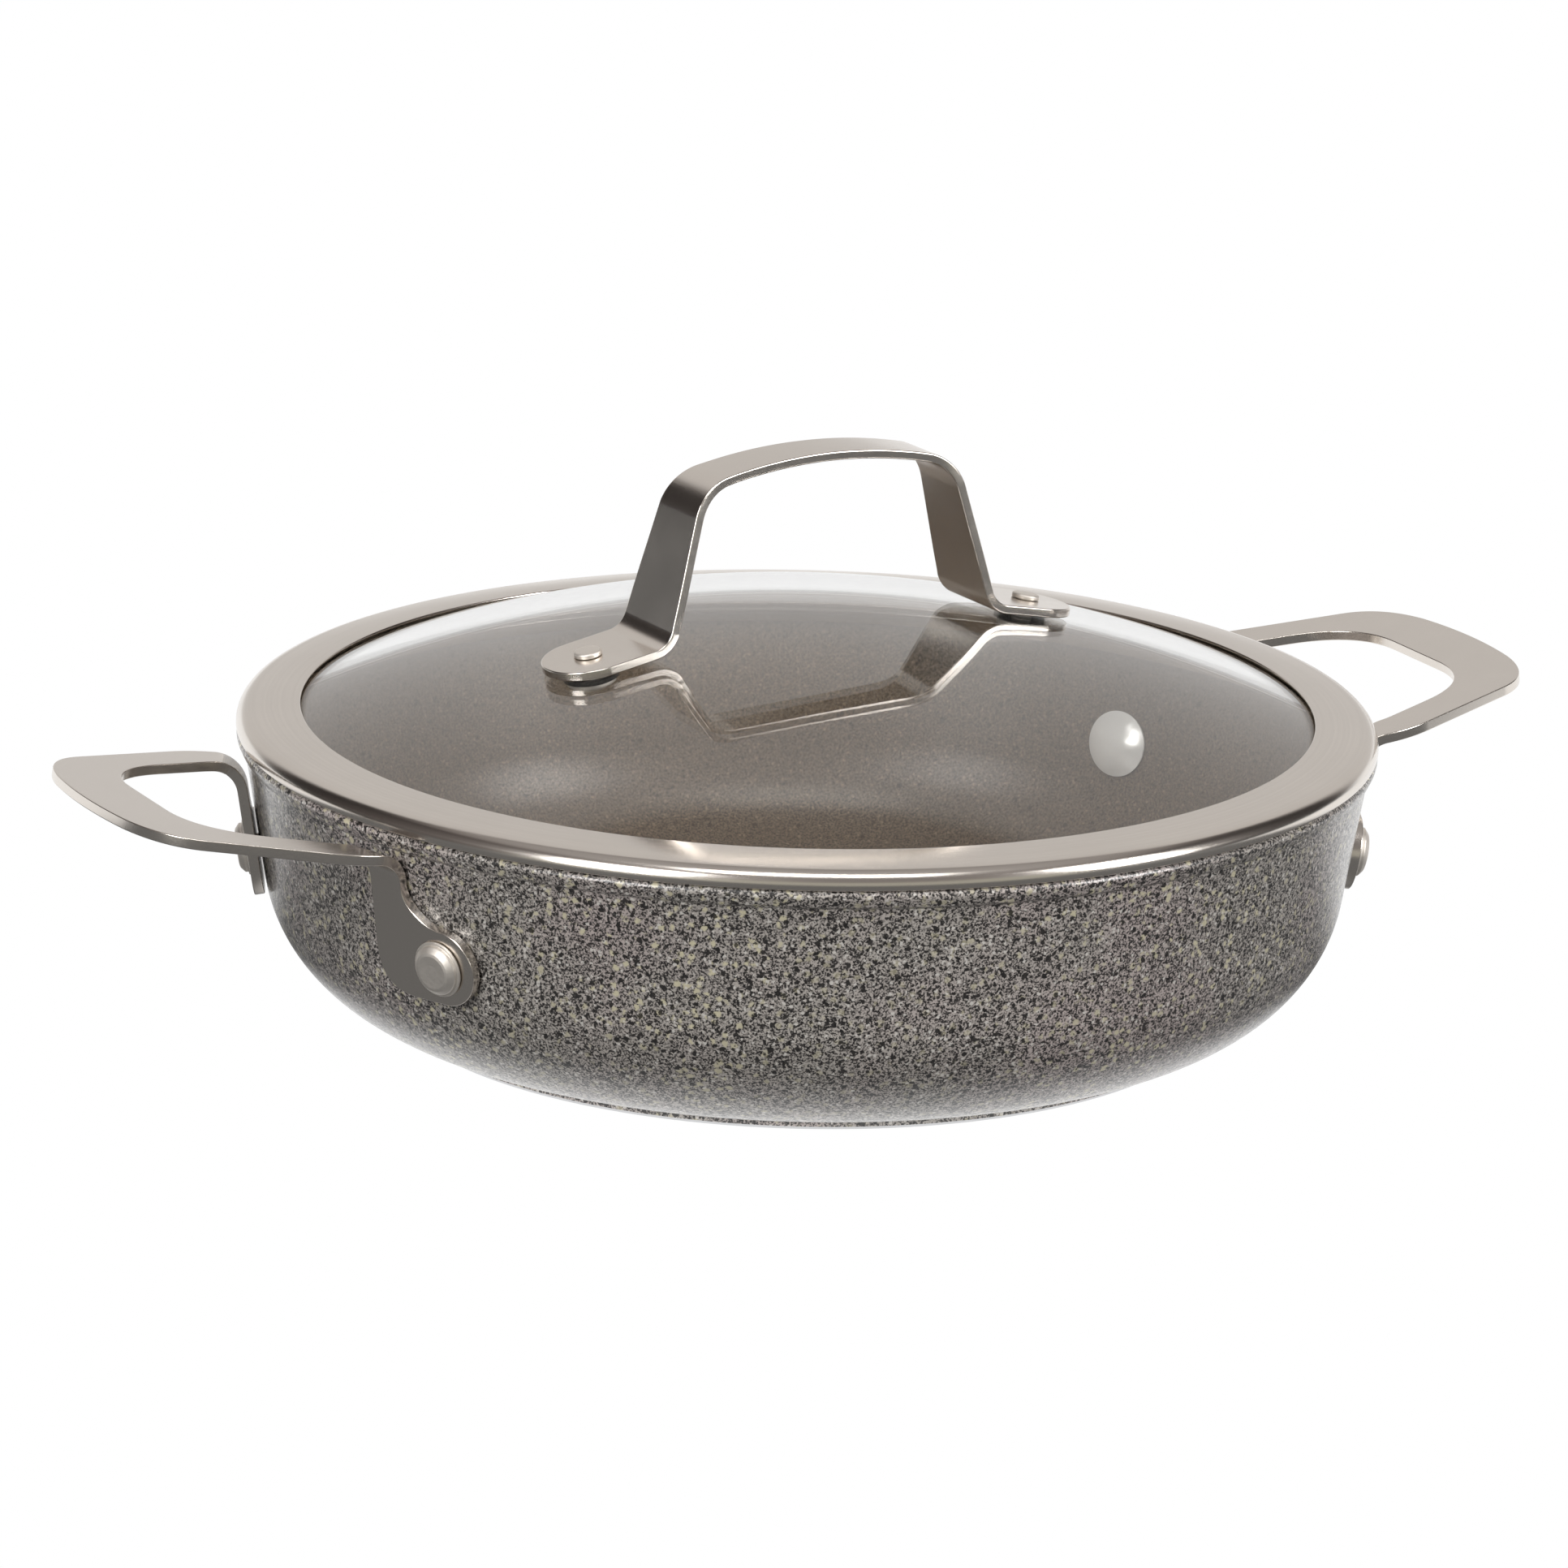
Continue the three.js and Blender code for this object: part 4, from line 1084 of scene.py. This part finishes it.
def strap_quarter():
    """A quarter of the strap's flat blank, from the middle of its top to its foot's end, and its bends."""
    strap = bpy.context.scene.strap_sizes
    lid = bpy.context.scene.lid_sizes
    slope = math.asin(strap.reach / lid.dome)
    lift = 2 * strap.stack + strap.gasket + strap.sheet / 2
    foot_out = Vector((math.sin(slope), math.cos(slope)))
    foot = Vector((strap.reach, lid_heights().glass_top - dome_drop(strap.reach))) + foot_out * lift
    leg_out = Vector((math.cos(strap.leg_lean), math.sin(strap.leg_lean)))
    leg_up = Vector((-math.sin(strap.leg_lean), math.cos(strap.leg_lean)))
    leg_foot = Vector((strap.leg_reach, foot.y - math.tan(slope) * (strap.leg_reach - foot.x)))
    arch_centre = Vector((0, strap.top - strap.sheet / 2 - strap.arch))
    low = leg_foot + (foot_out + leg_out) * (strap.foot_bend / (1 + foot_out.dot(leg_out)))
    start = leg_foot - leg_out * strap.top_bend
    along = (start - arch_centre).dot(leg_up)
    reach = math.sqrt(along ** 2 + (strap.arch - strap.top_bend) ** 2 - (start - arch_centre).length_squared)
    high = start + leg_up * (reach - along)
    arch_turn = math.pi / 2 - math.atan2(high.y - arch_centre.y, high.x)
    top_turn = math.pi / 2 - strap.leg_lean - arch_turn
    foot_turn = math.pi / 2 - strap.leg_lean - slope
    leg_run = (high + leg_out * strap.top_bend - (low - leg_out * strap.foot_bend)).length
    foot_run = (foot - (low - foot_out * strap.foot_bend)).length
    runs = [strap.arch * arch_turn, strap.top_bend * top_turn, leg_run, strap.foot_bend * foot_turn]
    bends = [
        (0, runs[0], arch_turn, 22),
        (runs[0], runs[1], top_turn, 16),
        (runs[0] + runs[1] + leg_run, runs[3], -foot_turn, 16)]
    rivet = sum(runs) + foot_run

    def from_above(run):
        """Distance from the lid's axis of a place along the strap, seen from above."""
        if run < runs[0]:
            return strap.arch * math.sin(run / strap.arch)
        run -= runs[0]
        if run < runs[1]:
            return high.x + strap.top_bend * math.sin(arch_turn + run / strap.top_bend)
        run -= runs[1]
        if run < runs[2]:
            return high.x + strap.top_bend * leg_out.x - leg_up.x * run
        return strap.neck_start

    def half_width(across):
        """Half of the strap's width at a distance from the axis."""
        if across >= strap.neck_start:
            return strap.foot_half
        if across <= strap.neck_end:
            return strap.top_half + (strap.narrow_half - strap.top_half) * across / strap.neck_end
        low_share, high_share = 0.0, 1.0
        ends = (
            strap.neck_start, strap.neck_start - strap.neck_pull,
            strap.neck_end + strap.narrow_pull, strap.neck_end)
        for _ in range(40):
            share = (low_share + high_share) / 2
            rest = 1 - share
            weights = (rest ** 3, 3 * share * rest ** 2, 3 * share ** 2 * rest, share ** 3)
            if sum(w * e for w, e in zip(weights, ends)) > across:
                low_share = share
            else:
                high_share = share
        return (weights[0] + weights[1]) * strap.foot_half + (weights[2] + weights[3]) * strap.narrow_half

    stations = sum(runs[:3])
    places = [stations * step / 60 for step in range(61)]
    outline = [Vector((0, 0))] + [Vector((run, half_width(from_above(run)))) for run in places]
    outline += arc((rivet, 0), strap.foot_half, math.pi / 2, 0, 22)
    return outline, bends


class SERVINGPAN_OT_lid_handle(Operator):
    """Fold the lid's handle from a flat strap"""
    bl_idname = "serving_pan.lid_handle"
    bl_label = "Lid Handle"

    def execute(self, context):
        strap = context.scene.strap_sizes
        outline, bends = strap_quarter()
        piece = folded("lid_strap", outline, bends)
        place(piece, Matrix.Translation((0, 0, strap.top - strap.sheet / 2)))
        apply_modifier(
            piece, "Other quarters", "MIRROR", use_axis=(True, True, False), merge_threshold=1e-5)
        thickened(piece, strap.sheet, strap.edge)
        place(piece, Matrix.Rotation(context.scene.lid_sizes.turn, 4, "Z"))
        finish_piece(piece, "lid", "lid_handle", "satin_steel", satin_sheet(), bright_edge())
        return {"FINISHED"}


class SERVINGPAN_OT_lid_rivets(Operator):
    """Turn a rivet, gasket, seal and washer, and copy them to both feet"""
    bl_idname = "serving_pan.lid_rivets"
    bl_label = "Lid Rivets"

    def execute(self, context):
        strap = context.scene.strap_sizes
        lid = context.scene.lid_sizes
        seal_top = -lid.glass - strap.stack
        washer_top = seal_top - strap.seal - strap.stack
        end_top = washer_top - strap.washer - strap.stack
        head_seat = 3 * strap.stack + strap.gasket + strap.sheet
        head_top = head_seat + strap.head_height
        end_low = end_top - strap.end_height
        hole = strap.shank + strap.fit

        def ring(name, radius, low, high):
            corners = [(hole, low, 0), (radius, low, 0.00015), (radius, high, 0.00015), (hole, high, 0)]
            return turned(name, rounded(corners, closed=True), 48)

        rivet = turned("strap_rivet_right", rounded([
            (0, end_low, 0), (strap.end, end_low, 0.0005), (strap.end, end_top, 0.0001),
            (strap.shank, end_top, 0), (strap.shank, head_seat, 0), (strap.head, head_seat, 0.0001),
            (strap.head, head_top, 0.0006), (0, head_top, 0)], steps=6), 48)
        stack = [
            (rivet, "rivet_steel", rivet_steel()),
            (ring("strap_gasket_right", strap.gasket_radius, strap.stack, strap.stack + strap.gasket),
             "dark_silicone", dark_silicone()),
            (ring("strap_seal_right", strap.seal_radius, seal_top - strap.seal, seal_top),
             "dark_silicone", dark_silicone()),
            (ring("strap_washer_right", strap.washer_radius, washer_top - strap.washer, washer_top),
             "rivet_steel", rivet_steel())]
        for piece, slot, material in stack:
            other = copied(piece, piece.name.replace("right", "left"))
            for each, side in ((piece, 1), (other, -1)):
                place(each, foot_frame(side))
                finish_piece(each, "lid", each.name.replace("strap", "lid"), slot, material)
        return {"FINISHED"}


def pale_floor(ahead):
    """A floor that looks white, and lights the object mainly from under the pan and from behind it."""
    material = bpy.data.materials.new("pale_floor")
    material.use_nodes = True
    material.node_tree.nodes.clear()
    book = NodeBook(material.node_tree)
    spot = book.place()
    under = book.fit(book.vector("LENGTH", spot), 0.116, 0.140, 1.0, 0.15, smooth=True)
    back = book.fit(book.vector("DOT_PRODUCT", spot, ahead), 0.0, 0.10, smooth=True)
    seen = book.add("ShaderNodeLightPath").outputs["Is Camera Ray"]
    strength = book.math("MAXIMUM", book.math("MAXIMUM", under, back), seen)
    glow = book.add("ShaderNodeEmission", Color=(1, 1, 1, 1), Strength=strength)
    book.add("ShaderNodeOutputMaterial", Surface=glow.outputs[0])
    return material


def studio_world(ahead):
    """A backdrop behind the pan, a soft ceiling, a pale card in front and a dim room, white to the eye."""
    world = bpy.data.worlds.new("studio")
    world.use_nodes = True
    world.node_tree.nodes.clear()
    book = NodeBook(world.node_tree)
    way = book.add("ShaderNodeTexCoord").outputs["Generated"]
    height = book.add("ShaderNodeSeparateXYZ", Vector=way).outputs[2]
    level = book.math("SUBTRACT", 1.0, book.math("MULTIPLY", height, height))
    level = book.math("SQRT", book.math("MAXIMUM", level, 0.0001))
    facing = book.math("DIVIDE", book.vector("DOT_PRODUCT", way, ahead), level)
    behind = book.fit(facing, 0.62, 0.80, smooth=True)
    under_top = book.fit(height, 0.76, 0.84, 1.0, 0.0, smooth=True)
    skirting = book.math("MULTIPLY", book.fit(height, 0.098, 0.103), book.fit(height, 0.107, 0.112, 0.9, 0.0))
    level_line = book.math("MAXIMUM", book.fit(height, 0.070, 0.085, 1.0, 0.62, smooth=True), skirting)
    backdrop = book.math("MULTIPLY", book.math("MULTIPLY", behind, under_top), level_line)
    ceiling = book.fit(height, 0.62, 0.92, 0.0, 0.35, smooth=True)
    low = book.fit(height, 0.26, 0.46, 1.0, 0.0, smooth=True)
    front = book.math("MULTIPLY", book.fit(facing, -0.35, -0.7, 0.0, 0.42, smooth=True), low)
    dim = book.fit(facing, -1.0, 0.5, 0.22, 0.03)
    lit = book.math("MAXIMUM", book.math("MAXIMUM", backdrop, ceiling), book.math("MAXIMUM", front, dim))
    seen = book.add("ShaderNodeLightPath").outputs["Is Camera Ray"]
    warm = book.math("MULTIPLY", book.fit(height, 0.075, 0.095), book.math("SUBTRACT", 1.0, seen))
    shadow = book.mix(book.fit(lit, 0.04, 0.40), (1.0, 0.86, 0.82), (1.0, 0.968, 0.945))
    tint = book.mix(warm, (1, 1, 1), shadow)
    tint = book.mix(book.fit(front, 0.1, 0.36), tint, (1.0, 0.98, 0.86))
    sky = book.add("ShaderNodeBackground", Color=tint, Strength=book.math("MAXIMUM", lit, seen))
    book.add("ShaderNodeOutputWorld", Surface=sky.outputs[0])
    return world


def softbox(name, spot, size, power):
    """A square lamp that points at the pan."""
    bpy.ops.object.select_all(action="DESELECT")
    aim = (Vector((0, 0, 0.05)) - Vector(spot)).to_track_quat("-Z", "Y").to_euler()
    bpy.ops.object.light_add(type="AREA", location=spot, rotation=aim)
    lamp = bpy.context.object
    lamp.name = name
    lamp.data.shape = "RECTANGLE"
    lamp.data.size, lamp.data.size_y = size
    lamp.data.energy = power


class SERVINGPAN_OT_stage(Operator):
    """Lay the pale floor, light it softly, and set up the camera"""
    bl_idname = "serving_pan.stage"
    bl_label = "Stage"

    def execute(self, context):
        stage = context.scene.stage_settings
        ahead = tuple(stage.ahead)
        floor_drop = 0.0003
        bpy.ops.object.select_all(action="DESELECT")
        bpy.ops.mesh.primitive_circle_add(
            vertices=96, radius=stage.floor, fill_type="NGON", location=(0, 0, -floor_drop))
        floor = context.object
        floor.name = "floor"
        place(floor, floor.matrix_world.copy())
        floor.data.materials.append(pale_floor(ahead))
        context.scene.world = studio_world(ahead)
        softbox("top_softbox", (-0.35, -0.75, 1.75), (1.1, 0.5), 10.0)
        softbox("left_softbox", (-1.9, -0.9, 1.0), (0.9, 1.3), 27.0)
        softbox("right_softbox", (1.3, -1.6, 1.0), (0.8, 1.2), 27.0)

        bpy.ops.object.select_all(action="DESELECT")
        bpy.ops.object.camera_add(location=stage.spot, rotation=stage.turn)
        camera = context.object
        camera.data.sensor_width = 36.0
        camera.data.lens = stage.lens
        camera.data.clip_start = 0.1
        camera.data.clip_end = 50.0
        context.scene.camera = camera
        context.scene.view_settings.view_transform = "Standard"
        return {"FINISHED"}


class SERVINGPAN_PT_pieces(Panel):
    """Lists the pieces, the sizes and the colours"""
    bl_idname = "SERVINGPAN_PT_pieces"
    bl_label = "Serving Pan"
    bl_space_type = "VIEW_3D"
    bl_region_type = "UI"
    bl_category = "Serving Pan"

    def draw(self, context):
        column = self.layout.column(align=True)
        for operator in operators:
            column.operator(operator.bl_idname)
        for name in settings:
            box = self.layout.box()
            group = getattr(context.scene, name)
            box.label(text=group.bl_rna.description)
            for item in group.bl_rna.properties:
                if item.identifier not in ("rna_type", "name"):
                    box.prop(group, item.identifier)


settings = {
    "pan_sizes": PanSizes,
    "handle_sizes": HandleSizes,
    "lid_sizes": LidSizes,
    "strap_sizes": StrapSizes,
    "pan_finishes": PanFinishes,
    "stage_settings": StageSettings,
}
operators = (
    SERVINGPAN_OT_pan,
    SERVINGPAN_OT_side_handles,
    SERVINGPAN_OT_handle_rivets,
    SERVINGPAN_OT_lid_band,
    SERVINGPAN_OT_lid_glass,
    SERVINGPAN_OT_lid_handle,
    SERVINGPAN_OT_lid_rivets,
    SERVINGPAN_OT_stage,
)


def register():
    for group in settings.values():
        bpy.utils.register_class(group)
    for name, group in settings.items():
        setattr(bpy.types.Scene, name, PointerProperty(type=group))
    for operator in operators:
        bpy.utils.register_class(operator)
    bpy.utils.register_class(SERVINGPAN_PT_pieces)


def unregister():
    bpy.utils.unregister_class(SERVINGPAN_PT_pieces)
    for operator in reversed(operators):
        bpy.utils.unregister_class(operator)
    for name, group in settings.items():
        delattr(bpy.types.Scene, name)
        bpy.utils.unregister_class(group)


def main():
    register()
    bpy.ops.serving_pan.pan()
    bpy.ops.serving_pan.side_handles()
    bpy.ops.serving_pan.handle_rivets()
    bpy.ops.serving_pan.lid_band()
    bpy.ops.serving_pan.lid_glass()
    bpy.ops.serving_pan.lid_handle()
    bpy.ops.serving_pan.lid_rivets()
    bpy.ops.serving_pan.stage()


if __name__ == "__main__":
    main()
